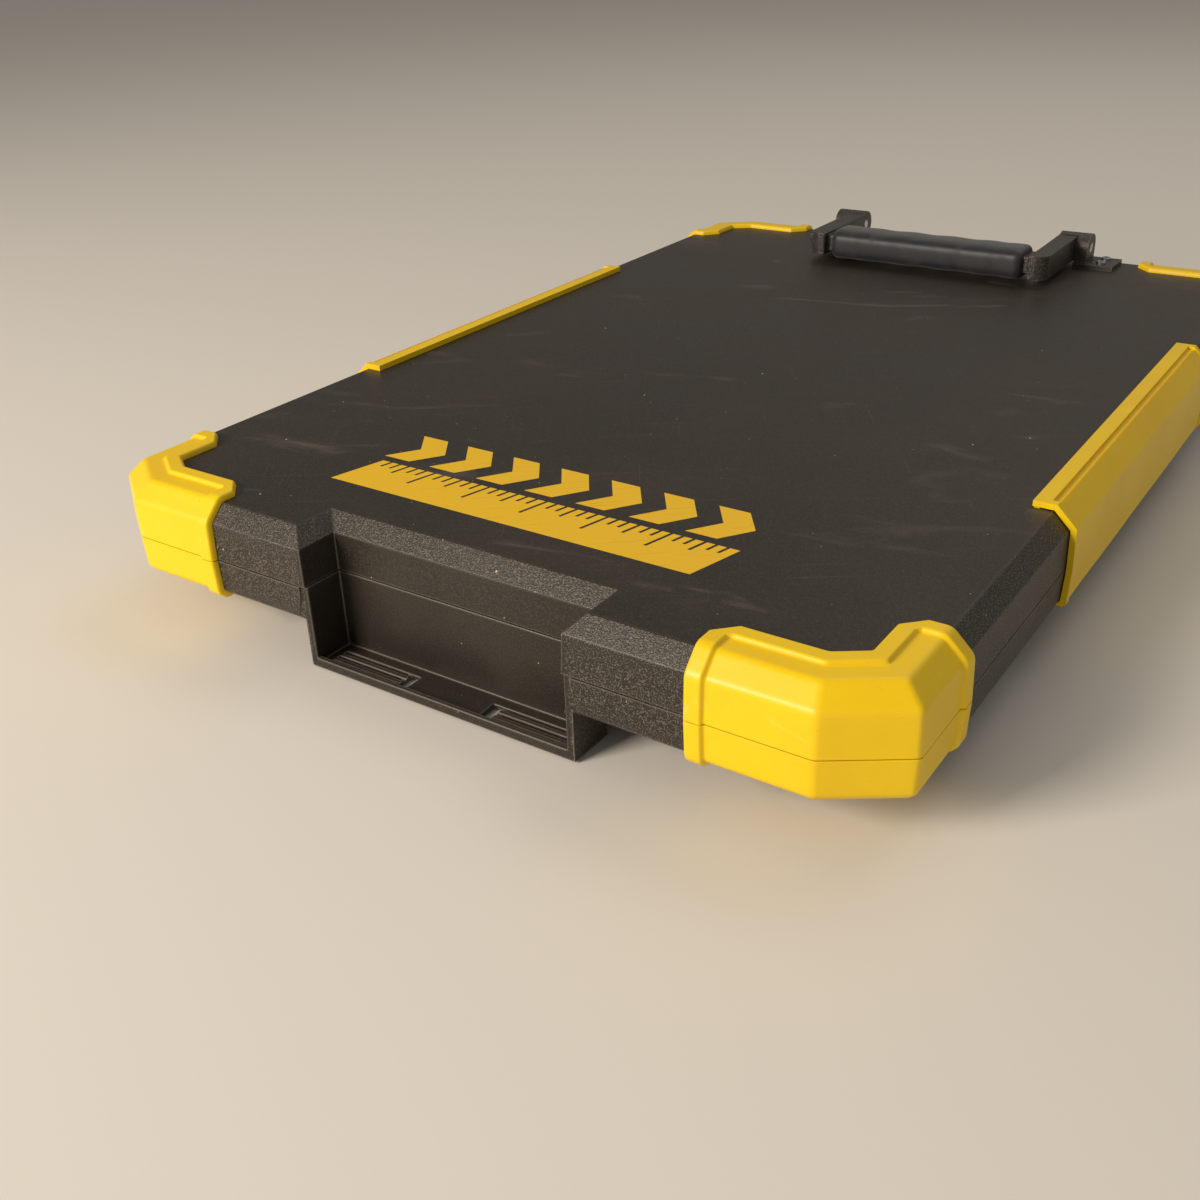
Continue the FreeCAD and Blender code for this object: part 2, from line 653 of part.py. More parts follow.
def handle_frame():
    """Bail handle, folded on the lid: two arms and the bar inside the grip, bored for its pins."""
    grip_y = HANDLE_Y - HANDLE_REACH
    outer_x = HANDLE_W / 2
    inner_x = outer_x - HANDLE_ARM_T
    arms = []
    for side in (-1, 1):
        span = (side * inner_x, side * outer_x)
        start = FreeCAD.Vector(min(span), HANDLE_Y, HANDLE_Z)
        eye = rod(HANDLE_EYE_R, HANDLE_ARM_T, start, X_AXIS)
        beam = block(span, (grip_y, HANDLE_Y),
                     (HANDLE_Z - HANDLE_ARM_H / 2, HANDLE_Z + HANDLE_ARM_H / 2))
        corner = block(span, (grip_y - GRIP_Y / 2, grip_y + GRIP_Y / 2),
                       (HANDLE_Z - HANDLE_ARM_H / 2, HANDLE_Z + HANDLE_ARM_H / 2))
        upright = [edge for edge in corner.Edges
                   if abs(edge.BoundBox.ZLength - HANDLE_ARM_H) < 0.01
                   and abs(abs(edge.BoundBox.Center.x) - outer_x) < 0.01
                   and edge.BoundBox.Center.y < grip_y]
        arms += [eye, beam, corner.makeFillet(HANDLE_CORNER_R, upright)]
    core = handle_core(inner_x + OVERRUN)
    bore = rod(HANDLE_PIN_R + PIN_CLEAR, HANDLE_W + 2 * OVERRUN,
               FreeCAD.Vector(-HANDLE_W / 2 - OVERRUN, HANDLE_Y, HANDLE_Z), X_AXIS)
    return joined(arms + [core]).cut(bore)


def handle_grip():
    """Soft sleeve moulded round the handle's bar."""
    grip_y = HANDLE_Y - HANDLE_REACH
    sleeve = block((-GRIP_L / 2, GRIP_L / 2), (grip_y - GRIP_Y / 2, grip_y + GRIP_Y / 2),
                   (HANDLE_Z - GRIP_Z / 2, HANDLE_Z + GRIP_Z / 2))
    long_edges = [edge for edge in sleeve.Edges if abs(edge.BoundBox.XLength - GRIP_L) < 0.01]
    return sleeve.makeFillet(GRIP_ROUND, long_edges).cut(handle_core(GRIP_L))


def handle_bracket():
    """Right-hand bracket: plate on the lid with an upright ear that holds the pin."""
    inner = HANDLE_W / 2 + BRACKET_SIDE_CLEAR
    half = BRACKET_PLATE_L / 2
    plate = block((inner, inner + BRACKET_PLATE_W), (HANDLE_Y - half, HANDLE_Y + half),
                  (TOP_Z, TOP_Z + BRACKET_PLATE_T))
    eye = rod(HANDLE_EYE_R, BRACKET_T, FreeCAD.Vector(inner, HANDLE_Y, HANDLE_Z), X_AXIS)
    web = block((inner, inner + BRACKET_T), (HANDLE_Y - HANDLE_EYE_R, HANDLE_Y + HANDLE_EYE_R),
                (TOP_Z, HANDLE_Z))
    bore = rod(HANDLE_PIN_R + PIN_CLEAR, BRACKET_T + 2 * OVERRUN,
               FreeCAD.Vector(inner - OVERRUN, HANDLE_Y, HANDLE_Z), X_AXIS)
    holes = [screw_hole(place, DOWN, LID_SCREW_L) for place in bracket_screw_places()]
    return joined([plate, eye, web]).cut([bore] + holes)


def handle_pin():
    """Right-hand handle pin, through the arm and the bracket's ear."""
    length = HANDLE_ARM_T + BRACKET_SIDE_CLEAR + BRACKET_T
    start = FreeCAD.Vector(HANDLE_W / 2 - HANDLE_ARM_T, HANDLE_Y, HANDLE_Z)
    return rod(HANDLE_PIN_R, length, start, X_AXIS)


# ---- inside and underneath ------------------------------------------------------------------
def foot_places():
    """Centres of the rubber feet."""
    return [(sx * FOOT_X, sy * FOOT_Y) for sx in (-1, 1) for sy in (-1, 1)]


def rubber_feet():
    """Four round pads let into the tub's underside."""
    return Part.makeCompound([rod(FOOT_R, FOOT_T - GASKET_CLEAR, FreeCAD.Vector(x, y, 0), Z_AXIS)
                              for x, y in foot_places()])


def lap_slot(x, y, low, high):
    """Upright slot where two dividers cross."""
    half = DIVIDER_T / 2 + DIVIDER_CLEAR
    return block((x - half, x + half), (y - half, y + half), (low, high))


def long_divider():
    """Divider along the tub, slotted from above for the cross dividers."""
    floor = TUB_FLOOR + WALL
    half_l = CROSS_DIVIDER_Y + LONG_DIVIDER_PAST
    plate = block((LONG_DIVIDER_X - DIVIDER_T / 2, LONG_DIVIDER_X + DIVIDER_T / 2),
                  (-half_l, half_l), (floor, floor + DIVIDER_H))
    slots = [lap_slot(LONG_DIVIDER_X, y, floor + DIVIDER_H / 2, floor + DIVIDER_H + OVERRUN)
             for y in (-CROSS_DIVIDER_Y, CROSS_DIVIDER_Y)]
    return plate.cut(slots)


def cross_divider(y):
    """Divider across the tub between its guide ribs, slotted from below."""
    floor = TUB_FLOOR + WALL
    half_w = TUB_HALF - WALL - DIVIDER_CLEAR
    plate = block((-half_w, half_w), (y - DIVIDER_T / 2, y + DIVIDER_T / 2),
                  (floor, floor + DIVIDER_H))
    return plate.cut(lap_slot(LONG_DIVIDER_X, y, floor - OVERRUN, floor + DIVIDER_H / 2))


# ---- the whole case -------------------------------------------------------------------------
def all_parts():
    """Every node's shape by name."""
    parts = {
        "base_shell": base_shell(),
        "lid_shell": lid_shell(),
        "lid_seal": lid_seal(),
        "hinge_guard_lower": hinge_guard_lower(),
        "hinge_guard_upper": hinge_guard_upper(),
        "hinge_pin": strip_pin(HINGE_X, PARTING_Z),
        "latch_bar": latch_bar(),
        "latch_pin": strip_pin(LATCH_PIN_X, LATCH_PIN_Z),
        "handle_frame": handle_frame(),
        "handle_grip": handle_grip(),
        "handle_bracket_right": handle_bracket(),
        "handle_bracket_left": mirror_x(handle_bracket()),
        "handle_pin_right": handle_pin(),
        "handle_pin_left": mirror_x(handle_pin()),
        "rubber_feet": rubber_feet(),
        "long_divider": long_divider(),
        "cross_divider_near": cross_divider(-CROSS_DIVIDER_Y),
        "cross_divider_far": cross_divider(CROSS_DIVIDER_Y),
        "base_screws": screws(lower_screw_places(), Z_AXIS, SCREW_L),
        "lid_screws": screws(lid_screw_places(), Z_AXIS, LID_SCREW_L),
        "bracket_screws": screws(bracket_screw_places(), DOWN, LID_SCREW_L),
    }
    lid_holes = [screw_hole(place, Z_AXIS, LID_SCREW_L) for place in lid_screw_places()]
    base_holes = [screw_hole(place, Z_AXIS, SCREW_L) for place in lower_screw_places()]
    for corner, shape in four_corners(bumper(lid_form, lid_holes)).items():
        parts["upper_bumper_" + corner] = shape
    for corner, shape in four_corners(bumper(base_form, base_holes)).items():
        parts["lower_bumper_" + corner] = shape
    return parts


def main():
    """Write one STEP file per node."""
    os.makedirs("parts", exist_ok=True)
    for name, shape in all_parts().items():
        print(name, "solids", len(shape.Solids), "valid", shape.isValid(),
              "volume", round(shape.Volume / 1000, 2), "cm3")
        shape.exportStep("parts/" + name + ".step")


main()
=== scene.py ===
import logging
import math
from collections.abc import Callable, Sequence
from dataclasses import dataclass, field, replace
from enum import Enum

import bmesh
import bpy
import numpy as np
from mathutils import Matrix, Vector


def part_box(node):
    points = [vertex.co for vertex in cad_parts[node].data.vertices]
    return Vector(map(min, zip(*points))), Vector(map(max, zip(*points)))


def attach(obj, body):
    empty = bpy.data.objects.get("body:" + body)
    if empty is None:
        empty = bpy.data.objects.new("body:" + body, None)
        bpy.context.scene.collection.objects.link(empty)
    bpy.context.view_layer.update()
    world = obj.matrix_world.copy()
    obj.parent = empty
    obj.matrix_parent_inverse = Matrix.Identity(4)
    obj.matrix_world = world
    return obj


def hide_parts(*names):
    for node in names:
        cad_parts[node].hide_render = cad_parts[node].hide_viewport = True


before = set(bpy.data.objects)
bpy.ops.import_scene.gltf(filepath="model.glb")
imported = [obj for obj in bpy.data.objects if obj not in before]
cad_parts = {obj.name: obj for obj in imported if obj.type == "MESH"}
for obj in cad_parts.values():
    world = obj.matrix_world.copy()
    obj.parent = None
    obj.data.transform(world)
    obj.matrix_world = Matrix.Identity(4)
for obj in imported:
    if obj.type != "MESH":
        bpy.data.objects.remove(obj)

# Studio scene of a flat carpenter's tool case: black textured shells, yellow corner bumpers and
# side guards, a wrap-over latch bar and a folding handle. Lengths are metres; MM turns
# millimetres into them. +X is the latch side, +Y the handle end, +Z up.

LOG = logging.getLogger("tool_case")
MM = 0.001
Array = np.ndarray
Socket = bpy.types.NodeSocket
Material = bpy.types.Material
Piece = bpy.types.Object

WELD_MM = 0.002  # points of a new piece closer than this are one
SPECK_CORE = 0.6  # share of a speck's radius inside its soft rim
PICK_EASE = 0.01  # softness of the choice of cells that hold a speck
SCRATCH_EASE = 0.03  # rise in the noise from a scratch's side to its middle
WORN_AND_LIT_RANGE = (0.99, 0.88)  # agreement of true and rounded normal: plain face, fully worn and painted-highlit edge
CURVE_POINTS = 9  # points on a short curve


# ---- shared helpers ----
def linear(hex_colour: str) -> tuple[float, float, float, float]:
    """Turn an sRGB hex colour, such as "f2c81a", into linear RGBA with an alpha of one."""
    srgb = [int(hex_colour[i:i + 2], 16) / 255 for i in (0, 2, 4)]
    return (*[c / 12.92 if c <= 0.04045 else ((c + 0.055) / 1.055) ** 2.4 for c in srgb], 1.0)


def smooth(value: Array, low: float, high: float) -> Array:
    """Ease from 0 at low to 1 at high by 3t^2 - 2t^3, where t is the share of the way."""
    t = np.clip((value - low) / (high - low), 0.0, 1.0)
    return t * t * (3 - 2 * t)


def grid_quads(rows: int, columns: int) -> Array:
    """Index the quads of a grid stored row by row, four vertex numbers to each."""
    first = np.arange(rows - 1)[:, None] * columns + np.arange(columns - 1)[None, :]
    return np.stack([first, first + columns, first + columns + 1, first + 1], -1).reshape(-1, 4)


def linked(name: str, data: bpy.types.ID) -> Piece:
    """Make an object called name that shows data, and link it to the scene."""
    piece = bpy.data.objects.new(name, data)
    bpy.context.scene.collection.objects.link(piece)
    return piece


def mesh_piece(name: str, points: Array, faces: Sequence[Sequence[int]]) -> Piece:
    """Make a smooth-shaded object from points in metres, with outward faces.

    Args:
        name: The piece's name.
        points: One row of X, Y, Z per vertex.
        faces: Vertex numbers of each face.

    Returns:
        The new object, linked to the scene, at the origin.
    """
    mesh = bpy.data.meshes.new(name)
    mesh.from_pydata(points.reshape(-1, 3).tolist(), [], [list(map(int, f)) for f in faces])
    work = bmesh.new()
    work.from_mesh(mesh)
    bmesh.ops.remove_doubles(work, verts=work.verts, dist=WELD_MM * MM)
    bmesh.ops.recalc_face_normals(work, faces=work.faces)
    work.to_mesh(mesh)
    work.free()
    mesh.shade_smooth()
    return linked(name, mesh)


def solid_from_skins(outer: Array, inner: Array) -> tuple[Array, Array]:
    """Close the space between two grids of the same size with a wall round their border.

    Args:
        outer: Rows by columns by 3 points of the outer skin.
        inner: The same for the inner skin.

    Returns:
        All points and the quads of one closed shell.
    """
    rows, columns = outer.shape[:2]
    front = grid_quads(rows, columns)
    back = front[:, ::-1] + rows * columns
    top, bottom = np.arange(columns), (rows - 1) * columns + np.arange(columns)
    left, right = np.arange(rows) * columns, np.arange(rows) * columns + columns - 1
    loop = np.concatenate([top[:-1], right[:-1], bottom[:0:-1], left[:0:-1]])
    nxt = np.roll(loop, -1)
    wall = np.stack([nxt, loop, loop + rows * columns, nxt + rows * columns], -1)
    points = np.concatenate([outer.reshape(-1, 3), inner.reshape(-1, 3)])
    return points, np.concatenate([front, back, wall])


# ---- finishes ----
class Graph:
    """A material's node tree, built from the Principled shader backwards."""

    def __init__(self, name: str) -> None:
        """Start an empty material called name."""
        self.material = bpy.data.materials.new(name)
        self.material.use_nodes = True
        self.tree = self.material.node_tree
        self.tree.nodes.clear()
        self.place = self.add("ShaderNodeTexCoord").outputs["Object"]

    def add(self, kind: str, inputs: dict | None = None, **settings: object) -> bpy.types.Node:
        """Add one node with its settings and links.

        Args:
            kind: The node's type name.
            inputs: Socket name or number to a value, or to the socket that feeds it.
            settings: The node's own properties.

        Returns:
            The new node.
        """
        node = self.tree.nodes.new(kind)
        for key, value in settings.items():
            setattr(node, key, value)
        for key, value in (inputs or {}).items():
            if isinstance(value, Socket):
                self.tree.links.new(value, node.inputs[key])
            else:
                node.inputs[key].default_value = value
        return node

    def math(self, operation: str, first: object, second: object = 0.0) -> Socket:
        """Combine one or two numbers, values or sockets, by a math operation."""
        return self.add("ShaderNodeMath", {0: first, 1: second}, operation=operation).outputs[0]

    def finish(self, shader: bpy.types.Node) -> Material:
        """Send the shader to the output and return the material."""
        self.add("ShaderNodeOutputMaterial", {"Surface": shader.outputs[0]})
        return self.material


@dataclass(frozen=True)
class Patches:
    """Patches where a noise runs high: its size and the levels at which they start and fill."""

    size_mm: float
    detail: float
    start: float
    full: float
    strength: float = 1.0
    stretch: tuple[float, float, float] = (1.0, 1.0, 1.0)
    turn_deg: float = 0.0
    swirl: float = 0.0


@dataclass(frozen=True)
class Scratches:
    """Fine straight scratches at one angle from X. A rarity nearer one leaves fewer."""

    turn_deg: float
    width_mm: float
    length_mm: float
    rarity: float
    strength: float


@dataclass(frozen=True)
class Specks:
    """Sparse round specks, one at most in each cell. Size is their radius over the cell."""

    spacing_mm: float
    size: float
    share: float


@dataclass(frozen=True)
class Finish:
    """What every finish can state. Sizes are in millimetres."""

    name: str
    colour: str
    roughness: float
    ior: float = 1.49
    metallic: float = 0.0

    def band(self, g: Graph, value: Socket, low: float, high: float,
             to_low: float = 0.0, to_high: float = 1.0) -> Socket:
        """Ease value's run from low to high onto to_low to to_high, and return the socket."""
        node = g.add("ShaderNodeMapRange", {"Value": value, "From Min": low, "From Max": high,
                                            "To Min": to_low, "To Max": to_high},
                     interpolation_type="SMOOTHSTEP")
        return node.outputs[0]

    def tint(self, g: Graph, share: Socket | float, under: object,
             over: object) -> Socket:
        """Lay colour over on colour under by share and return the mixed colour."""
        node = g.add("ShaderNodeMix", {0: share, 6: under, 7: over}, data_type="RGBA")
        return node.outputs[2]

    def noise(self, g: Graph, size_mm: float, detail: float = 3.0,
              stretch: Sequence[float] = (1, 1, 1), turn_deg: float = 0.0,
              distortion: float = 0.0) -> Socket:
        """Noise whose blobs are about size_mm across, longer along an axis by stretch.

        Args:
            g: The graph to add to.
            size_mm: Blob size.
            detail: Octaves of finer detail.
            stretch: Growth of the blobs along X, Y and Z.
            turn_deg: Turn of the stretched pattern about Z.
            distortion: Swirl of the pattern.

        Returns:
            The noise value, about 0.5 in the mean.
        """
        turned = g.add("ShaderNodeMapping", {"Vector": g.place,
                                             "Rotation": (0, 0, math.radians(turn_deg)),
                                             "Scale": [size_mm * MM * s for s in stretch]},
                       vector_type="TEXTURE")
        node = g.add("ShaderNodeTexNoise", {"Vector": turned.outputs[0], "Scale": 1.0,
                                            "Detail": detail, "Distortion": distortion})
        return node.outputs["Fac"]

    def patches(self, g: Graph, marks: Patches) -> Socket:
        """Cut patches from a noise and return their strength, zero outside them."""
        noise = self.noise(g, marks.size_mm, marks.detail, marks.stretch, marks.turn_deg,
                           marks.swirl)
        return self.band(g, noise, marks.start, marks.full, 0.0, marks.strength)

    def specks(self, g: Graph, marks: Specks) -> Socket:
        """Draw specks: the middle of a cell, in the cells that are picked.

        Args:
            g: The graph to add to.
            marks: What the specks are like.

        Returns:
            One inside a speck, zero outside.
        """
        turned = g.add("ShaderNodeMapping", {"Vector": g.place,
                                             "Scale": [marks.spacing_mm * MM] * 3},
                       vector_type="TEXTURE")
        cells = g.add("ShaderNodeTexVoronoi", {"Vector": turned.outputs[0], "Scale": 1.0})
        near = self.band(g, cells.outputs["Distance"], marks.size, marks.size * SPECK_CORE)
        pick = g.add("ShaderNodeSeparateColor", {0: cells.outputs["Color"]}).outputs[0]
        chosen = self.band(g, pick, marks.share + PICK_EASE, marks.share - PICK_EASE)
        return g.math("MULTIPLY", near, chosen)

    def scratches(self, g: Graph, marks: Scratches) -> Socket:
        """Draw scratches and return their strength, zero outside them."""
        lines = self.noise(g, marks.width_mm, 1.0, (marks.length_mm / marks.width_mm, 1, 1),
                           marks.turn_deg)
        return self.band(g, lines, marks.rarity, marks.rarity + SCRATCH_EASE, 0.0, marks.strength)

    def worn_and_lit_edge(self, g: Graph, radius_mm: float) -> Socket:
        """One on sharp outside edges, fading to zero over radius_mm, by rounding the normal; the mask
        for edge wear and a painted edge highlight.
        """
        rounded = g.add("ShaderNodeBevel", {"Radius": radius_mm * MM}, samples=3).outputs[0]
        plain = g.add("ShaderNodeNewGeometry").outputs["Normal"]
        facing = g.add("ShaderNodeVectorMath", {0: rounded, 1: plain}, operation="DOT_PRODUCT")
        return self.band(g, facing.outputs["Value"], *WORN_AND_LIT_RANGE)

    def shader(self, g: Graph, colour: object, roughness: object, height: object | None = None,
               depth_mm: float = 0.0, **constants: object) -> Material:
        """Close the graph with a Principled shader and an optional bump.

        Args:
            g: The graph to close.
            colour: Base colour, a value or a socket.
            roughness: Roughness, a value or a socket.
            height: Bump height from 0 to 1.
            depth_mm: Depth that a height of one stands for.
            constants: Other shader inputs by name, spaces as underscores.

        Returns:
            The finished material.
        """
        inputs = {"Base Color": colour, "Roughness": roughness, "IOR": self.ior,
                  "Metallic": self.metallic}
        if height is not None:
            bump = g.add("ShaderNodeBump", {"Height": height, "Distance": depth_mm * MM,
                                            "Strength": 1.0})
            inputs["Normal"] = bump.outputs[0]
        inputs |= {key.replace("_", " "): value for key, value in constants.items()}
        return g.finish(g.add("ShaderNodeBsdfPrincipled", inputs))


@dataclass(frozen=True)
class TexturedPolypropylene(Finish):
    """Carbon-black polypropylene from a spark-eroded mould: grainy, with painted grey glints on the
    grain's peaks that stand in for glancing light.

    The broad top face is finer and satin, and carries handling marks: dust film, specks, scuffs.
    """

    ior: float = 1.49
    grain_mm: float = 0.62  # spark texture, drawn a little coarse so that it shows
    grain_depth_mm: float = 0.20
    satin_depth_mm: float = 0.03
    satin_above: float = 1.0  # object height above which the face is the satin top
    dust_colour: str = "453c32"
    scuff_colour: str = "827b70"
    speck_colour: str = "c4b193"
    # Pale grey painted as glints on the grain and on outside edges, where it is partly real wear and
    # partly a painted highlight.
    glint_and_worn_edge_colour: str = "857d73"
    grain_glint: float = 0.55  # share of the pale colour painted on the grain's peaks as glints, a painted highlight
    grain_glint_range: tuple[float, float] = (0.48, 0.70)
    polished_grain_glint: float = 0.25  # share of the painted glints left where the mould is polished
    dust: float = 0.22
    # wear sets how strongly the outside edges are lightened: partly real wear, partly a painted
    # highlight.
    wear: float = 0.8
    worn_and_lit_edge_mm: float = 1.1
    film: Patches = Patches(70, 5, 0.42, 0.75, swirl=0.6)
    smear: Patches = Patches(30, 4, 0.60, 0.82, 0.30, (2.4, 1, 1), 20, 1.2)
    handling: tuple[Scratches, Scratches] = (Scratches(34, 0.5, 80, 0.745, 0.30),
                                             Scratches(-57, 0.45, 60, 0.75, 0.30))
    grit: tuple[Specks, Specks] = (Specks(4.0, 0.08, 0.10), Specks(17.0, 0.035, 0.35))
    mark_full: float = 0.4  # strength of a mark that is as rough as marks get
    mark_roughness: float = 0.16
    dust_roughness: float = 0.08
    edge_polish: float = 0.10
    recess_half: float = 69.0  # half width of the polished hand recesses
    recess_from: float = 276.5  # where they start along Y
    recess_below: float = 7.3  # depth under the top at which their polish starts
    side_ease: float = 0.5
    height_ease: float = 0.3

    def smooth_zones(self, g: Graph) -> tuple[Socket, Socket]:
        """Find where the mould is polished rather than eroded.

        Args:
            g: The graph to add to.

        Returns:
            One on the lid's top, and one on the walls and plate inside the hand recesses.
        """
        x, y, z = g.add("ShaderNodeSeparateXYZ", {0: g.place}).outputs
        side, rise = self.side_ease, self.height_ease
        top = self.band(g, z, self.satin_above - rise * MM, self.satin_above)
        across = self.band(g, g.math("ABSOLUTE", x), (self.recess_half + side) * MM,
                           (self.recess_half - side) * MM)
        behind = self.band(g, g.math("ABSOLUTE", y), (self.recess_from - side) * MM,
                           (self.recess_from + side) * MM)
        below = self.band(g, z, self.satin_above - (self.recess_below - rise) * MM,
                          self.satin_above - (self.recess_below + rise) * MM)
        return top, g.math("MULTIPLY", g.math("MULTIPLY", across, behind), below)

    def build(self) -> Material:
        """Make the material: grain by fine noises with painted glints on its peaks, marks by
        thresholds of coarser noises, worn edges with a painted highlight.
        """
        g = Graph(self.name)
        top, recess = self.smooth_zones(g)
        polished = g.math("MAXIMUM", top, recess)
        grain = self.noise(g, self.grain_mm, 2.0)
        film = self.patches(g, replace(self.film, strength=self.dust))
        # Painted glints: the pale colour laid on the grain's peaks stands in for light caught by the
        # texture.
        grain_glint = g.math("MULTIPLY", self.band(g, grain, *self.grain_glint_range, 0.0, self.grain_glint),
                       self.band(g, polished, 0, 1, 1.0, self.polished_grain_glint))
        colour = self.tint(g, film, linear(self.colour), linear(self.dust_colour))
        colour = self.tint(g, grain_glint, colour, linear(self.glint_and_worn_edge_colour))
        scratch = g.math("MAXIMUM", *[self.scratches(g, way) for way in self.handling])
        marks = g.math("MULTIPLY", g.math("MAXIMUM", scratch, self.patches(g, self.smear)), top)
        colour = self.tint(g, marks, colour, linear(self.scuff_colour))
        speck = g.math("MAXIMUM", *[self.specks(g, kind) for kind in self.grit])
        colour = self.tint(g, speck, colour, linear(self.speck_colour))
        # Outside edges lightened: partly real wear, partly a painted highlight along the rounded
        # edges.
        edge = g.math("MULTIPLY", self.worn_and_lit_edge(g, self.worn_and_lit_edge_mm), self.wear)
        colour = self.tint(g, edge, colour, linear(self.glint_and_worn_edge_colour))
        rough = self.band(g, marks, 0, self.mark_full, self.roughness,
                          self.roughness + self.mark_roughness)
        rough = g.math("ADD", rough, self.band(g, film, 0, self.dust, 0.0, self.dust_roughness))
        rough = g.math("SUBTRACT", rough, self.band(g, edge, 0, 1, 0.0, self.edge_polish))
        depth = self.band(g, polished, 0.0, 1.0, 1.0, self.satin_depth_mm / self.grain_depth_mm)
        return self.shader(g, colour, rough, g.math("MULTIPLY", grain, depth), self.grain_depth_mm)


@dataclass(frozen=True)
class YellowPolypropylene(Finish):
    """Pigmented polypropylene copolymer, satin from a lightly blasted mould, a little waxy.

    It carries faint rub marks and a trace of wood dust in its texture.
    """

    grain_mm: float = 0.55
    grain_depth_mm: float = 0.025
    deep_colour: str = "e3ae0a"
    rub_colour: str = "f9e27a"
    grime_colour: str = "a8842a"
    drift: Patches = Patches(45, 3, 0.35, 0.7, 0.22)
    rub: Patches = Patches(9, 4, 0.62, 0.8, 0.30, (3, 1, 1), 25, 0.8)
    line: Scratches = Scratches(12, 0.35, 18, 0.73, 0.35)
    wood_dust: Specks = Specks(7.0, 0.05, 0.10)
    rub_roughness: float = 0.12

    def build(self) -> Material:
        """Make the material: slow colour drift, blasted grain, rub marks and specks."""
        g = Graph(self.name)
        colour = self.tint(g, self.patches(g, self.drift), linear(self.colour),
                           linear(self.deep_colour))
        rub = self.patches(g, self.rub)
        colour = self.tint(g, rub, colour, linear(self.rub_colour))
        for mark in (self.scratches(g, self.line), self.specks(g, self.wood_dust)):
            colour = self.tint(g, mark, colour, linear(self.grime_colour))
        rough = self.band(g, rub, 0.0, self.rub.strength, self.roughness,
                          self.roughness + self.rub_roughness)
        grain = self.noise(g, self.grain_mm, 2.0)
        return self.shader(g, colour, rough, grain, self.grain_depth_mm,
                           Subsurface_Weight=0.08, Subsurface_Radius=(0.8 * MM, 0.5 * MM, 0.1 * MM),
                           Subsurface_Scale=1.0)


@dataclass(frozen=True)
class ZincPlatedSteel(Finish):
    """Bright zinc-plated steel wire and screws: cloudy grey with drawn lines."""

    metallic: float = 1.0
    dull_colour: str = "8f9196"
    cloud: Patches = Patches(2.5, 4, 0.35, 0.7)
    line_mm: float = 0.25
    line_stretch: float = 40.0
    line_depth_mm: float = 0.01
    cloud_roughness: float = 0.18

    def build(self) -> Material:
        """Make the material: cloudy zinc crystals and drawing lines along Y."""
        g = Graph(self.name)
        cloud = self.patches(g, self.cloud)
        colour = self.tint(g, cloud, linear(self.colour), linear(self.dull_colour))
        lines = self.noise(g, self.line_mm, 2, (1, self.line_stretch, 1))
        rough = self.band(g, cloud, 0, 1, self.roughness, self.roughness + self.cloud_roughness)
        node = g.add("ShaderNodeBump", {"Height": lines, "Distance": self.line_depth_mm * MM,
                                        "Strength": 0.5})
        return g.finish(g.add("ShaderNodeBsdfPrincipled", {
            "Base Color": colour, "Roughness": rough, "Metallic": self.metallic,
            "Normal": node.outputs[0]}))


@dataclass(frozen=True)
class MouldedElastomer(Finish):
    """Rubber or TPE: soft sheen, fine matt grain, dust caught in the surface."""

    ior: float = 1.5
    grain_mm: float = 0.4
    grain_depth_mm: float = 0.03
    dust_colour: str = "6c665e"
    dust: float = 0.25
    film: Patches = Patches(14, 4, 0.45, 0.75)
    grit: Specks = Specks(4, 0.07, 0.12)
    dust_roughness: float = 0.15

    def build(self) -> Material:
        """Make the material: grain, dust film and specks."""
        g = Graph(self.name)
        film = self.patches(g, replace(self.film, strength=self.dust))
        colour = self.tint(g, film, linear(self.colour), linear(self.dust_colour))
        colour = self.tint(g, self.specks(g, self.grit), colour, linear(self.dust_colour))
        rough = self.band(g, film, 0, self.dust, self.roughness,
                          self.roughness + self.dust_roughness)
        return self.shader(g, colour, rough, self.noise(g, self.grain_mm, 2),
                           self.grain_depth_mm, Sheen_Weight=0.15, Sheen_Roughness=0.5)


@dataclass(frozen=True)
class DividerPolypropylene(Finish):
    """Plain grey polypropylene sheet-like mouldings with flow marks and light scratches."""

    light_colour: str = "6a6d70"
    flow: Patches = Patches(16, 3, 0.35, 0.75, 0.5, (1, 1, 0.4), swirl=1.0)
    faint: Scratches = Scratches(8, 0.4, 30, 0.7, 0.3)
    grain_mm: float = 0.7
    grain_depth_mm: float = 0.03

    def build(self) -> Material:
        """Make the material: flow marks, scratches and a fine grain."""
        g = Graph(self.name)
        colour = linear(self.colour)
        for mark in (self.patches(g, self.flow), self.scratches(g, self.faint)):
            colour = self.tint(g, mark, colour, linear(self.light_colour))
        return self.shader(g, colour, self.roughness, self.noise(g, self.grain_mm, 2),
                           self.grain_depth_mm)


@dataclass(frozen=True)
class PadPrintedInk(Finish):
    """Pad-printed yellow ink: thin, matt, worn through in fine specks over the mould texture."""

    worn_colour: str = "6e5a1c"
    pinholes: Patches = Patches(0.8, 3, 0.66, 0.74, 0.7)
    thin_areas: Patches = Patches(22, 3, 0.4, 0.62)
    line: Scratches = Scratches(40, 0.4, 35, 0.72, 0.5)
    grain_mm: float = 0.7
    grain_depth_mm: float = 0.02

    def build(self) -> Material:
        """Make the material: speckled wear and the plastic's grain showing through."""
        g = Graph(self.name)
        worn = g.math("MULTIPLY", self.patches(g, self.pinholes), self.patches(g, self.thin_areas))
        colour = linear(self.colour)
        for mark in (worn, self.scratches(g, self.line)):
            colour = self.tint(g, mark, colour, linear(self.worn_colour))
        return self.shader(g, colour, self.roughness, self.noise(g, self.grain_mm, 2),
                           self.grain_depth_mm)


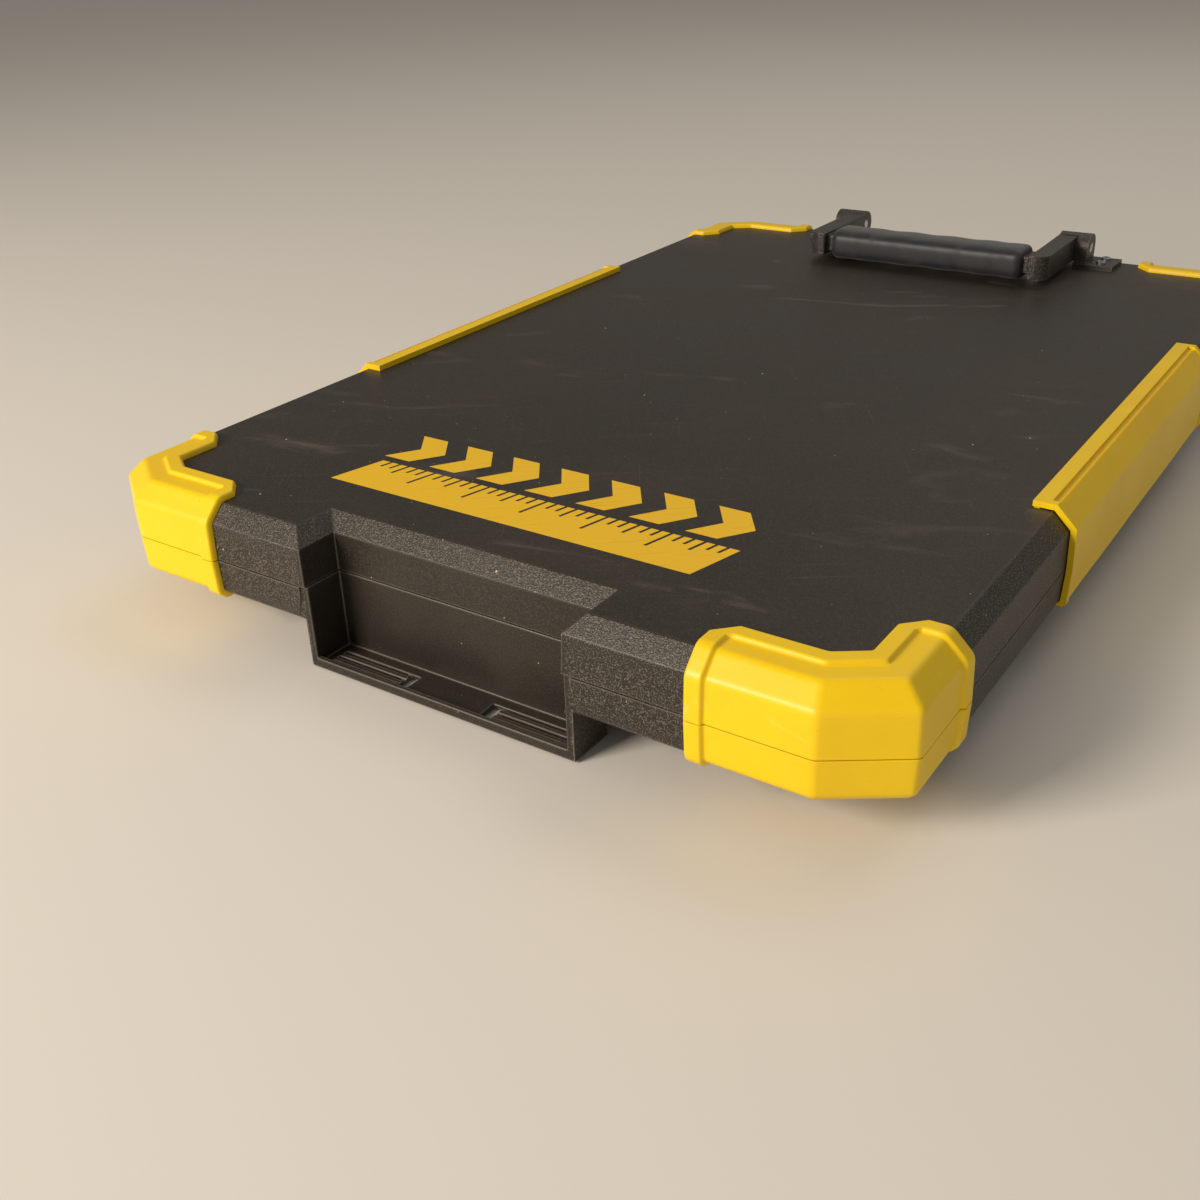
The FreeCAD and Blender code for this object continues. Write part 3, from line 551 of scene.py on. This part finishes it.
@dataclass(frozen=True)
class StudioCard(Finish):
    """Pale matt paper under the case."""

    fibre_mm: float = 1.5
    fibre_depth_mm: float = 0.02

    def build(self) -> Material:
        """Make the material: paper fibre at a barely visible depth."""
        g = Graph(self.name)
        fibre = self.noise(g, self.fibre_mm, 3)
        return self.shader(g, linear(self.colour), self.roughness, fibre, self.fibre_depth_mm)


class FinishName(Enum):
    """The finishes used on the case."""

    SHELL = "shell"
    YELLOW = "yellow"
    STEEL = "steel"
    RUBBER = "rubber"
    GRIP = "grip"
    DIVIDER = "divider"
    INK = "ink"
    ARM = "arm"


Finishes = dict[FinishName, Material]


def build_finishes(top_z: float) -> Finishes:
    """Make every finish once, for a lid whose satin top face is at top_z."""
    finishes = {
        # Both black finishes paint pale glints on their grain and a highlight on their worn edges.
        FinishName.SHELL: TexturedPolypropylene("Textured_PP_black", "201a13", 0.42,
                                                satin_above=top_z - 0.1 * MM),
        FinishName.ARM: TexturedPolypropylene("Glass_filled_PP_black", "201e1d", 0.40, dust=0.15,
                                              wear=0.4),
        FinishName.YELLOW: YellowPolypropylene("Moulded_PP_yellow", "f5cf00", 0.42),
        FinishName.STEEL: ZincPlatedSteel("Zinc_plated_steel", "c3c5c9", 0.26),
        FinishName.RUBBER: MouldedElastomer("Moulded_EPDM_black", "1a1919", 0.72),
        FinishName.GRIP: MouldedElastomer("Soft_touch_TPE_blue_black", "1b1e26", 0.48, dust=0.12),
        FinishName.DIVIDER: DividerPolypropylene("Moulded_PP_grey", "4b4e51", 0.5),
        FinishName.INK: PadPrintedInk("Pad_print_yellow", "f0c21c", 0.5),
    }
    return {key: finish.build() for key, finish in finishes.items()}


# ---- pieces carried over from the CAD with rounded edges ----
@dataclass
class RoundedCopy:
    """A CAD node's mesh, welded and with its outside edges rounded."""

    node: str
    body: str
    slot: str
    radius_mm: float
    segments: int = 3
    least_turn_deg: float = 20.0
    least_edge_mm: float = 1.5
    clamp: bool = True  # one short edge then narrows the rounding of them all
    weld_mm: float = 0.004
    flat_deg: float = 0.4  # faces that turn less than this are merged
    sharp_deg: float = 32.0  # edges that turn more than this are shaded as edges
    keep: Callable[[Array, Array, Array], Array] | None = None

    def build(self, material: Material) -> Piece:
        """Weld the loose triangles, merge flat ones and bevel the chosen edges.

        Args:
            material: The finish to wear.

        Returns:
            The piece, riding on its body in place of the CAD node.
        """
        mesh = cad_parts[self.node].data.copy()
        mesh.name = self.node + "_skin"
        work = bmesh.new()
        work.from_mesh(mesh)
        bmesh.ops.remove_doubles(work, verts=work.verts, dist=self.weld_mm * MM)
        bmesh.ops.dissolve_limit(work, angle_limit=math.radians(self.flat_deg), verts=work.verts,
                                 edges=work.edges, use_dissolve_boundaries=False)
        weight = work.edges.layers.float.new("bevel_weight_edge")
        work.edges.ensure_lookup_table()
        edges = [e for e in work.edges if len(e.link_faces) == 2
                 and e.calc_face_angle(0.0) > math.radians(self.least_turn_deg)
                 and e.calc_length() > self.least_edge_mm * MM]
        if edges:
            middle = np.array([(e.verts[0].co + e.verts[1].co) / 2 for e in edges])
            first = np.array([e.link_faces[0].normal for e in edges])
            second = np.array([e.link_faces[1].normal for e in edges])
            shares = self.keep(middle, first, second) if self.keep else np.ones(len(edges))
            for edge, share in zip(edges, shares):
                edge[weight] = float(share)
        work.to_mesh(mesh)
        work.free()
        mesh.shade_smooth()
        mesh.set_sharp_from_angle(angle=math.radians(self.sharp_deg))
        mesh.materials.clear()
        mesh.materials.append(material)
        piece = linked(self.node + "_skin", mesh)
        bevel = piece.modifiers.new("edges", "BEVEL")
        bevel.limit_method = "WEIGHT"
        bevel.width = self.radius_mm * MM
        bevel.segments = self.segments
        bevel.use_clamp_overlap = self.clamp
        bevel.miter_outer = "MITER_ARC"
        shade = piece.modifiers.new("shading", "WEIGHTED_NORMAL")
        shade.keep_sharp = True
        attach(piece, self.body)
        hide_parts(self.node)
        LOG.info("%s rounded to %.1f mm", self.node, self.radius_mm)
        return piece


# ---- the case ----
class Half(Enum):
    """Which shell a bumper belongs to."""

    UPPER = "upper"
    LOWER = "lower"


@dataclass
class CasePlan:
    """Sizes of the two shells in millimetres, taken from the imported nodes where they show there."""

    half_w: float = 200.0
    half_l: float = 300.0
    top: float = 65.3
    band_bottom: float = 22.8
    lid_bottom: float = 40.5
    base_top: float = 40.1
    chamfer: float = 7.4
    under_chamfer: float = 2.5
    draft: float = 0.6
    corner_x: float = 29.0
    corner_y: float = 19.0
    recess_half: float = 67.0
    recess_deep: float = 21.0
    margin: float = 1.0  # slack when edges are sorted by where they lie
    facing: float = 0.5  # share of a normal that counts as facing one way

    @classmethod
    def from_frame(cls) -> "CasePlan":
        """Read the shells' heights and outside sizes from the frame."""
        low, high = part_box("base_shell")
        lid_low, lid_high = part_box("lid_shell")
        return cls(half_w=lid_high.x / MM, half_l=lid_high.y / MM, top=lid_high.z / MM,
                   lid_bottom=lid_low.z / MM, base_top=high.z / MM)

    def exterior(self, middle: Array, first: Array, second: Array) -> Array:
        """Pick a shell's outside edges: both faces look away from the case's middle.

        Args:
            middle: Edge middles in metres.
            first: Normals of one face at each edge.
            second: Normals of the other face.

        Returns:
            One for an outside edge and zero for an inside one.
        """
        centre = np.array([0, 0, (self.top + self.band_bottom) / 2]) * MM
        away = middle - centre
        outward = np.all([np.einsum("ij,ij->i", normal, away) > 0 for normal in (first, second)],
                         axis=0)
        side, end = np.sign(middle[:, 0]), np.sign(middle[:, 1])
        at_recess = ((np.abs(middle[:, 0]) < (self.recess_half + self.chamfer + self.margin) * MM)
                     & (np.abs(middle[:, 1])
                        > (self.half_l - self.recess_deep - self.chamfer - self.margin) * MM))
        beyond = np.abs(middle[:, 0]) > (self.recess_half + self.margin) * MM
        inside = np.zeros(len(middle), bool)
        for normal in (first, second):
            inside |= normal[:, 1] * end < -self.facing
            inside |= (normal[:, 0] * side > self.facing) & beyond
        return np.where(at_recess, ~inside, outward).astype(float)


@dataclass
class CornerBumper:
    """One half of a moulded corner bumper, as a skin laid over the shell's own outside.

    The skin is a grid. Rows run round the corner from the short-end leg, over the slanting
    corner face, to the long-side leg. Columns run down the shell's profile. Each point stands
    off the shell by a height field: a raised border, a sunk middle and rolled edges.
    """

    plan: CasePlan
    half: Half
    leg_x: float = 79.0
    leg_y: float = 62.0
    flange: float = 24.5
    clip: float = 9.0
    border: float = 7.0
    rim: float = 2.9
    sunk: float = 1.25
    roll: float = 1.5
    step: float = 1.5
    corner_round: float = 1.4
    profile_round: float = 1.2
    seam_roll: float = 0.5
    seam_ease: float = 0.14
    under: float = 0.02  # gap between the shell and the skin's back
    past_rim: float = 1.0  # the fine stations run this far past the border's step
    round_of_cut: float = 0.4  # most of a chamfer that a rounding may take up
    rim_points: int = 18
    flank_points: int = 60
    leg_points: int = 24
    beyond: float = 99.0  # stands for far from both leg ends

    def border_stations(self) -> Array:
        """Space points closely over the rolled edge, the border and its step."""
        roll = self.roll * (1 - np.cos(np.linspace(0, math.pi / 2, CURVE_POINTS)))
        rim = np.linspace(self.roll, self.border + self.step + self.past_rim, self.rim_points)
        return np.concatenate([roll, rim])

    def profile(self) -> tuple[Array, Array, Array, Array, Array]:
        """Sample the shell's profile from the flange's inner edge to the parting line.

        Returns:
            Distance along it, inset from the outside, height, and the outward and upward
            shares of its normal.
        """
        p = self.plan
        if self.half is Half.UPPER:
            flat, edge, cut, sign = p.top, p.lid_bottom, p.chamfer, 1.0
        else:
            flat, edge, cut, sign = p.band_bottom, p.base_top, p.under_chamfer, -1.0
        corners = np.array([[self.flange, flat], [p.draft + cut, flat],
                            [p.draft, flat - sign * cut], [0.0, edge]])
        points = eased_polyline(corners, min(self.profile_round, self.round_of_cut * cut))
        run = np.concatenate([[0], np.cumsum(np.linalg.norm(np.diff(points, axis=0), axis=1))])
        fine = self.border_stations()
        seam = 1 - np.sin(np.linspace(0, math.pi / 2, CURVE_POINTS - 2))
        stations = np.unique(np.round(np.concatenate([
            fine, np.linspace(fine[-1], run[-1] - self.seam_roll, self.flank_points),
            run[-1] - self.seam_roll * seam]), 4))
        inset = np.interp(stations, run, points[:, 0])
        height = np.interp(stations, run, points[:, 1])
        slope_in, slope_z = np.gradient(inset, stations), np.gradient(height, stations)
        length = np.hypot(slope_in, slope_z)
        return stations, inset, height, -sign * slope_z / length, -sign * slope_in / length

    def path(self, inset: Array) -> tuple[Array, Array, Array]:
        """Lay the path round the corner at every inset at once.

        Three straight runs are joined by quadratic curves. The two plan corners move along
        their mitre lines as the inset grows.

        Args:
            inset: Inset of each column.

        Returns:
            Rows by columns by 2 points, the outward normal of each row, and each point's
            distance from the nearer leg end.
        """
        p, e = self.plan, self.corner_round
        slant = np.array([p.corner_x, p.corner_y]) / math.hypot(p.corner_x, p.corner_y)
        n1, n2, n3 = np.array([0, -1.0]), np.array([slant[1], -slant[0]]), np.array([1.0, 0])
        in1, in2 = -(n1 + n2) / (1 + n1 @ n2), -(n2 + n3) / (1 + n2 @ n3)
        over = np.maximum(inset - (self.flange - self.clip), 0.0)
        s = inset[:, None]
        a = np.stack([p.half_w - self.leg_x + over, inset - p.half_l], -1)
        b = np.array([p.half_w - p.corner_x, -p.half_l]) + s * in1
        c = np.array([p.half_w, -p.half_l + p.corner_y]) + s * in2
        d = np.stack([p.half_w - inset, self.leg_y - p.half_l - over], -1)
        fine = np.unique(self.border_stations())
        q = np.linspace(0, 1, CURVE_POINTS)[:, None, None]
        coarse = np.linspace(0, 1, self.leg_points + 2)[1:-1, None]
        reach = [((b - [e, 0]) - a)[:, 0], (d - (c + [0, e]))[:, 1]]
        legs = []
        for start, way, full in ((a, np.array([1.0, 0]), reach[0]),
                                 (d, np.array([0, -1.0]), reach[1])):
            t = np.concatenate([fine[:, None] + 0 * full, fine[-1] + (full - fine[-1]) * coarse])
            legs.append((start + t[..., None] * way, t))
        bend1 = (1 - q) ** 2 * (b - [e, 0]) + 2 * q * (1 - q) * b + q ** 2 * (b + e * slant)
        face = (b + e * slant) * (1 - q[1:-1]) + (c - e * slant) * q[1:-1]
        bend2 = (1 - q) ** 2 * (c - e * slant) + 2 * q * (1 - q) * c + q ** 2 * (c + [0, e])
        xy = np.concatenate([legs[0][0], bend1, face, bend2, legs[1][0][::-1]])
        flat_q = q[:, :, 0]
        turn1, turn2 = n1 * (1 - flat_q) + n2 * flat_q, n2 * (1 - flat_q) + n3 * flat_q
        count = len(legs[0][1])
        straight = [np.tile(n, (rows, 1))
                    for n, rows in ((n1, count), (n2, len(q) - 2), (n3, count))]
        normal = np.concatenate([straight[0], turn1, straight[1], turn2, straight[2]])
        normal /= np.linalg.norm(normal, axis=1)[:, None]
        far = np.full((len(q) * 3 - 2, len(inset)), self.beyond)
        return xy, normal, np.concatenate([legs[0][1], far, legs[1][1][::-1]])

    def heights(self, along: Array, from_end: Array) -> Array:
        """Height of the skin over the shell.

        It is the border's height less a sunk middle, where the middle is the product of two
        smooth steps, one from the leg ends and one from the flange's edge. The sum is rolled
        down to zero at those edges by a quarter circle, and eased a little at the parting line.

        Args:
            along: Distance of each column from the flange's inner edge.
            from_end: Distance of each point from the nearer leg end.

        Returns:
            Height in millimetres.
        """
        inner = smooth(from_end, self.border, self.border + self.step)
        inner = inner * smooth(along, self.border, self.border + self.step)[None, :]
        body = self.rim - (self.rim - self.sunk) * inner
        edge = quarter(from_end / self.roll) * quarter(along / self.roll)[None, :]
        seam = quarter((along[-1] - along) / self.seam_roll)[None, :]
        return body * edge - self.seam_ease * (1 - seam)

    def build(self, name: str, side: int, end: int, material: Material) -> Piece:
        """Make the skin for one corner.

        Args:
            name: The CAD node it stands for.
            side: 1 at the right, -1 at the left.
            end: -1 at the near end, 1 at the far end.
            material: The finish to wear.

        Returns:
            The closed skin, riding on its shell.
        """
        along, inset, height, out_share, up_share = self.profile()
        xy, normal, from_end = self.path(inset)
        lift = np.maximum(self.heights(along, from_end), self.under * 2)

        def laid(lifts: Array) -> Array:
            """Stand the grid off the shell by lifts."""
            flat = xy + lifts[..., None] * normal[:, None, :] * out_share[None, :, None]
            z = height[None, :] + lifts * up_share[None, :]
            return np.concatenate([flat, z[..., None]], -1) * [side, -end, 1] * MM

        points, faces = solid_from_skins(laid(lift), laid(np.full(lift.shape, self.under)))
        piece = mesh_piece(name + "_skin", points, faces)
        piece.data.materials.append(material)
        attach(piece, "lid" if self.half is Half.UPPER else "base")
        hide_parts(name)
        LOG.info("%s laid as a skin of %d quads", name, len(faces))
        return piece


def quarter(share: Array) -> Array:
    """Quarter circle from 0 at 0 to 1 at 1 and beyond."""
    return np.sqrt(np.clip(1 - (1 - np.clip(share, 0, 1)) ** 2, 0, 1))


def eased_polyline(corners: Array, ease: float) -> Array:
    """Round a polyline's inner corners with quadratic curves that start ease away.

    Args:
        corners: One row per corner.
        ease: Length taken up on each side of a corner.

    Returns:
        The rounded line's points.
    """
    points = [corners[0]]
    q = np.linspace(0, 1, CURVE_POINTS)[:, None]
    for before, corner, after in zip(corners, corners[1:], corners[2:]):
        start = corner + (before - corner) / np.linalg.norm(before - corner) * ease
        stop = corner + (after - corner) / np.linalg.norm(after - corner) * ease
        points.extend((1 - q) ** 2 * start + 2 * q * (1 - q) * corner + q ** 2 * stop)
    points.append(corners[-1])
    return np.array(points)


@dataclass
class Shells:
    """The two black shells and the seal between them."""

    plan: CasePlan
    radius_mm: float = 0.5

    def build(self, finishes: Finishes) -> None:
        """Round the outside edges of both shells and finish the seal."""
        for node, body in (("base_shell", "base"), ("lid_shell", "lid")):
            RoundedCopy(node, body, "black_shell_plastic", self.radius_mm, clamp=False,
                        keep=self.plan.exterior).build(finishes[FinishName.SHELL])
        wear(finishes[FinishName.RUBBER], "lid_seal")


def wear(material: Material, *nodes: str) -> None:
    """Give CAD nodes a finish in place of their own."""
    for node in nodes:
        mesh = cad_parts[node].data
        mesh.materials.clear()
        mesh.materials.append(material)


@dataclass
class Guards:
    """The yellow corner bumpers and the side guards, one of which is the latch bar."""

    plan: CasePlan

    def build(self, finishes: Finishes) -> None:
        """Lay the eight bumper skins and round the side guards."""
        yellow = finishes[FinishName.YELLOW]
        for half in Half:
            for end_name, end in (("near", -1), ("far", 1)):
                for side_name, side in (("right", 1), ("left", -1)):
                    CornerBumper(self.plan, half).build(
                        f"{half.value}_bumper_{end_name}_{side_name}", side, end, yellow)
        for node, body in (("hinge_guard_lower", "base"), ("hinge_guard_upper", "lid"),
                           ("latch_bar", "latch")):
            RoundedCopy(node, body, "yellow_guard_plastic", 0.7).build(yellow)


@dataclass
class Handle:
    """Folding carry handle: bow, soft grip, brackets and pins. Sizes are in millimetres."""

    bow_radius: float = 1.0
    bracket_radius: float = 0.8
    rings: int = 121
    around: int = 64
    squareness: float = 3.4  # exponent of the grip's superellipse
    end_share: float = 0.72  # size of the end rings over the middle ones
    end_length: float = 5.0
    wave_share: float = 0.045
    wave_pitch: float = 27.0
    wave_fade: tuple[float, float] = (8.0, 20.0)
    crease_deg: float = 50.0

    def build(self, finishes: Finishes) -> None:
        """Round the bow and brackets, and lay the grip."""
        arm = finishes[FinishName.ARM]
        RoundedCopy("handle_frame", "handle", "black_shell_plastic", self.bow_radius,
                    clamp=False).build(arm)
        for side in ("left", "right"):
            RoundedCopy(f"handle_bracket_{side}", "lid", "black_shell_plastic",
                        self.bracket_radius).build(arm)
        self.grip(finishes[FinishName.GRIP])
        wear(finishes[FinishName.STEEL], "handle_pin_left", "handle_pin_right")

    def grip(self, material: Material) -> Piece:
        """Sweep a rounded rectangle along X.

        The section is a superellipse. Towards the ends it shrinks by a quarter circle, and
        shallow waves along its length, a raised cosine, fit the fingers.

        Args:
            material: The finish to wear.

        Returns:
            The closed sleeve, riding on the handle.
        """
        low, high = (np.array(v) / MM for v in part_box("handle_grip"))
        middle, half = (low + high) / 2, (high - low) / 2
        x = half[0] * np.sin(np.linspace(-math.pi / 2, math.pi / 2, self.rings))
        from_end = half[0] - np.abs(x)
        shrink = self.end_share + (1 - self.end_share) * quarter(from_end / self.end_length)
        dip = 0.5 + 0.5 * np.cos(2 * math.pi * x / self.wave_pitch)
        wave = 1 - self.wave_share * dip * smooth(from_end, *self.wave_fade)
        turn = np.linspace(0, 2 * math.pi, self.around + 1)[:-1]
        power = 2 / self.squareness
        y = np.sign(np.cos(turn)) * np.abs(np.cos(turn)) ** power * half[1]
        z = np.sign(np.sin(turn)) * np.abs(np.sin(turn)) ** power * half[2]
        rings = np.stack([np.broadcast_to(x[:, None], (len(x), len(turn))),
                          y[None, :] * (shrink * wave)[:, None],
                          z[None, :] * (shrink * wave)[:, None]], -1)
        count = len(turn)
        r, c = np.arange(len(x) - 1)[:, None], np.arange(count)[None, :]
        nxt = (c + 1) % count
        quads = np.stack([r * count + c, (r + 1) * count + c, (r + 1) * count + nxt,
                          r * count + nxt], -1).reshape(-1, 4).tolist()
        caps = [list(range(count)), list(range((len(x) - 1) * count, len(x) * count))]
        piece = mesh_piece("handle_grip_skin", (rings + middle) * MM, quads + caps)
        piece.data.set_sharp_from_angle(angle=math.radians(self.crease_deg))
        piece.data.materials.append(material)
        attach(piece, "handle")
        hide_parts("handle_grip")
        LOG.info("grip swept with %d rings", len(x))
        return piece


@dataclass
class Interior:
    """Lift-out dividers."""

    def build(self, finishes: Finishes) -> None:
        """Round the dividers' edges."""
        for node in ("long_divider", "cross_divider_near", "cross_divider_far"):
            RoundedCopy(node, "base", "grey_divider_plastic", 0.35, 2).build(
                finishes[FinishName.DIVIDER])


@dataclass
class Hardware:
    """Pins, screws and feet."""

    def build(self, finishes: Finishes) -> None:
        """Finish the steel parts and round the rubber feet."""
        wear(finishes[FinishName.STEEL], "hinge_pin", "latch_pin", "base_screws", "lid_screws",
             "bracket_screws")
        RoundedCopy("rubber_feet", "base", "black_rubber", 0.5, 2, least_edge_mm=0.0).build(
            finishes[FinishName.RUBBER])


@dataclass
class LidPrint:
    """Pad print on the lid's near end: bold chevrons over a ruler bar with slanted ends.

    Sizes are in millimetres. Every mark is a thin closed plate just above the lid.
    """

    top: float
    half_width: float = 95.0
    chevron_span: tuple[float, float] = (-214.5, -186.0)
    chevron_count: int = 7
    stroke: float = 15.0  # width of a chevron along X
    reach: float = 10.0  # how far its point stands out
    bar_span: tuple[float, float] = (-247.0, -219.5)
    ticks: int = 36
    lean: float = 7.0  # how far the bar's top stands right of its foot
    tick_width: float = 1.5
    tick_depths: tuple[float, float, float] = (6.0, 9.5, 15.0)
    thick: float = 0.04
    gap: float = 0.015
    least: float = 0.01  # least length of a plate
    deep_every: int = 6
    middle_every: int = 3
    plates: list[Array] = field(default_factory=list)

    def plate(self, corners: Sequence[tuple[float, float]]) -> None:
        """Keep one four-cornered plate, corners in anticlockwise order."""
        self.plates.append(np.array(corners, float))

    def chevrons(self) -> None:
        """Keep a row of right-pointing chevrons, each of two leaning plates."""
        low, high = self.chevron_span
        stroke, reach, middle = self.stroke, self.reach, (low + high) / 2
        pitch = (2 * self.half_width - stroke - reach) / (self.chevron_count - 1)
        for i in range(self.chevron_count):
            x = -self.half_width + i * pitch
            tip = [(x + reach, middle), (x + stroke + reach, middle)]
            self.plate([(x, low), (x + stroke, low), tip[1], tip[0]])
            self.plate([tip[0], tip[1], (x + stroke, high), (x, high)])

    def ruler(self) -> None:
        """Keep a leaning bar whose upper edge is broken by gaps, some of them deeper."""
        low, high = self.bar_span
        ticks, lean, left = self.ticks, self.lean, -self.half_width
        pitch = 2 * self.half_width / ticks
        half = self.tick_width / 2

        def leaning(x0: float, x1: float, y0: float, y1: float) -> None:
            """Keep one plate that leans with the bar."""
            shift = [lean * (y - low) / (high - low) - lean / 2 for y in (y0, y1)]
            self.plate([(x0 + shift[0], y0), (x1 + shift[0], y0), (x1 + shift[1], y1),
                        (x0 + shift[1], y1)])

        deepest = high - max(self.tick_depths)
        leaning(left, -left, low, deepest)
        for i in range(ticks):
            start = left + i * pitch
            level = 2 if i % self.deep_every == 0 else 1 if i % self.middle_every == 0 else 0
            if i:
                upper = max(high - self.tick_depths[level], deepest + self.least)
                leaning(start - half, start + half, deepest, upper)
            leaning(start + (half if i else 0.0), start + pitch - (half if i < ticks - 1 else 0.0),
                    deepest, high)

    def build(self, material: Material) -> Piece:
        """Lay out the marks and join them in one piece that rides on the lid."""
        self.chevrons()
        self.ruler()
        base = np.stack(self.plates)
        count = len(base)
        low = np.concatenate([base, np.full((count, 4, 1), self.top + self.gap)], -1)
        high = low + [0, 0, self.thick]
        points = np.concatenate([low, high], 1).reshape(-1, 3)
        cube = np.array([[3, 2, 1, 0], [4, 5, 6, 7], [0, 1, 5, 4], [1, 2, 6, 5], [2, 3, 7, 6],
                         [3, 0, 4, 7]])
        faces = (np.arange(count)[:, None, None] * 8 + cube).reshape(-1, 4)
        mesh = bpy.data.meshes.new("lid_print")
        mesh.from_pydata((points * MM).tolist(), [], faces.tolist())
        mesh.materials.append(material)
        piece = linked("lid_print", mesh)
        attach(piece, "lid")
        LOG.info("lid print of %d marks", count)
        return piece


# ---- studio ----
@dataclass(frozen=True)
class AreaLight:
    """One rectangular studio light, aimed at a point."""

    name: str
    place: tuple[float, float, float]
    aim: tuple[float, float, float]
    size: tuple[float, float]
    power: float
    colour: str

    def build(self) -> Piece:
        """Put the light in the scene."""
        light = bpy.data.lights.new(self.name, "AREA")
        light.shape = "RECTANGLE"
        light.size, light.size_y = self.size
        light.energy = self.power
        light.color = linear(self.colour)[:3]
        lamp = linked(self.name, light)
        lamp.location = self.place
        aim = Vector(self.aim) - Vector(self.place)
        lamp.rotation_euler = aim.to_track_quat("-Z", "Y").to_euler()
        return lamp


@dataclass
class Studio:
    """Camera, lights and a pale floor."""

    camera_place: tuple[float, float, float] = (0.3208, -0.6334, 0.2973)
    camera_right: tuple[float, float, float] = (0.8276, 0.5604, -0.0328)
    camera_view: tuple[float, float, float] = (-0.5063, 0.7198, -0.4749)
    lens_mm: float = 39.44
    sensor_mm: float = 36.0
    clip_start: float = 0.01
    floor_half: float = 30.0
    floor_z: float = 0.0
    floor_colour: str = "e0ddd7"
    floor_roughness: float = 0.8
    world_colour: str = "e9e2d8"
    world_strength: float = 0.32

    def build(self) -> None:
        """Set the camera, lights, world and floor."""
        scene = bpy.context.scene
        view = Vector(self.camera_view).normalized()
        right = Vector(self.camera_right)
        right = (right - right.dot(view) * view).normalized()
        up = right.cross(view)
        turn = Matrix((right, up, -view)).transposed().to_4x4()
        data = bpy.data.cameras.new("camera")
        data.lens, data.sensor_width = self.lens_mm, self.sensor_mm
        data.clip_start = self.clip_start
        data.dof.use_dof = False
        camera = linked("camera", data)
        camera.matrix_world = Matrix.Translation(self.camera_place) @ turn
        scene.camera = camera
        lights = (
            AreaLight("key", (-0.80, -1.95, 1.00), (0.05, -0.15, 0.03), (0.8, 0.8), 50.0, "fff1e0"),
            AreaLight("fill", (1.5, -1.3, 0.9), (0.0, -0.1, 0.03), (1.4, 1.0), 1.2, "f4f4ff"),
            AreaLight("back", (0.3, 1.3, 2.0), (0.0, 0.1, 0.05), (1.8, 0.9), 9.0, "fff4e6"),
        )
        for light in lights:
            light.build()
        world = bpy.data.worlds.new("studio")
        world.use_nodes = True
        sky = world.node_tree.nodes["Background"].inputs
        sky["Color"].default_value = linear(self.world_colour)
        sky["Strength"].default_value = self.world_strength
        scene.world = world
        scene.view_settings.view_transform = "Standard"
        half, z = self.floor_half, self.floor_z
        floor = mesh_piece("studio_floor", np.array([[-half, -half, z], [half, -half, z],
                                                     [half, half, z], [-half, half, z]]),
                           [[0, 1, 2, 3]])
        floor.data.materials.append(StudioCard("Studio_card", self.floor_colour,
                                              self.floor_roughness).build())


def main() -> None:
    """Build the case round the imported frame."""
    logging.basicConfig(level=logging.INFO, format="%(name)s: %(message)s")
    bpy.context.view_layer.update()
    plan = CasePlan.from_frame()
    finishes = build_finishes(plan.top * MM)
    Shells(plan).build(finishes)
    Guards(plan).build(finishes)
    Handle().build(finishes)
    Interior().build(finishes)
    Hardware().build(finishes)
    LidPrint(plan.top).build(finishes[FinishName.INK])
    Studio().build()


if __name__ == "__main__":
    main()
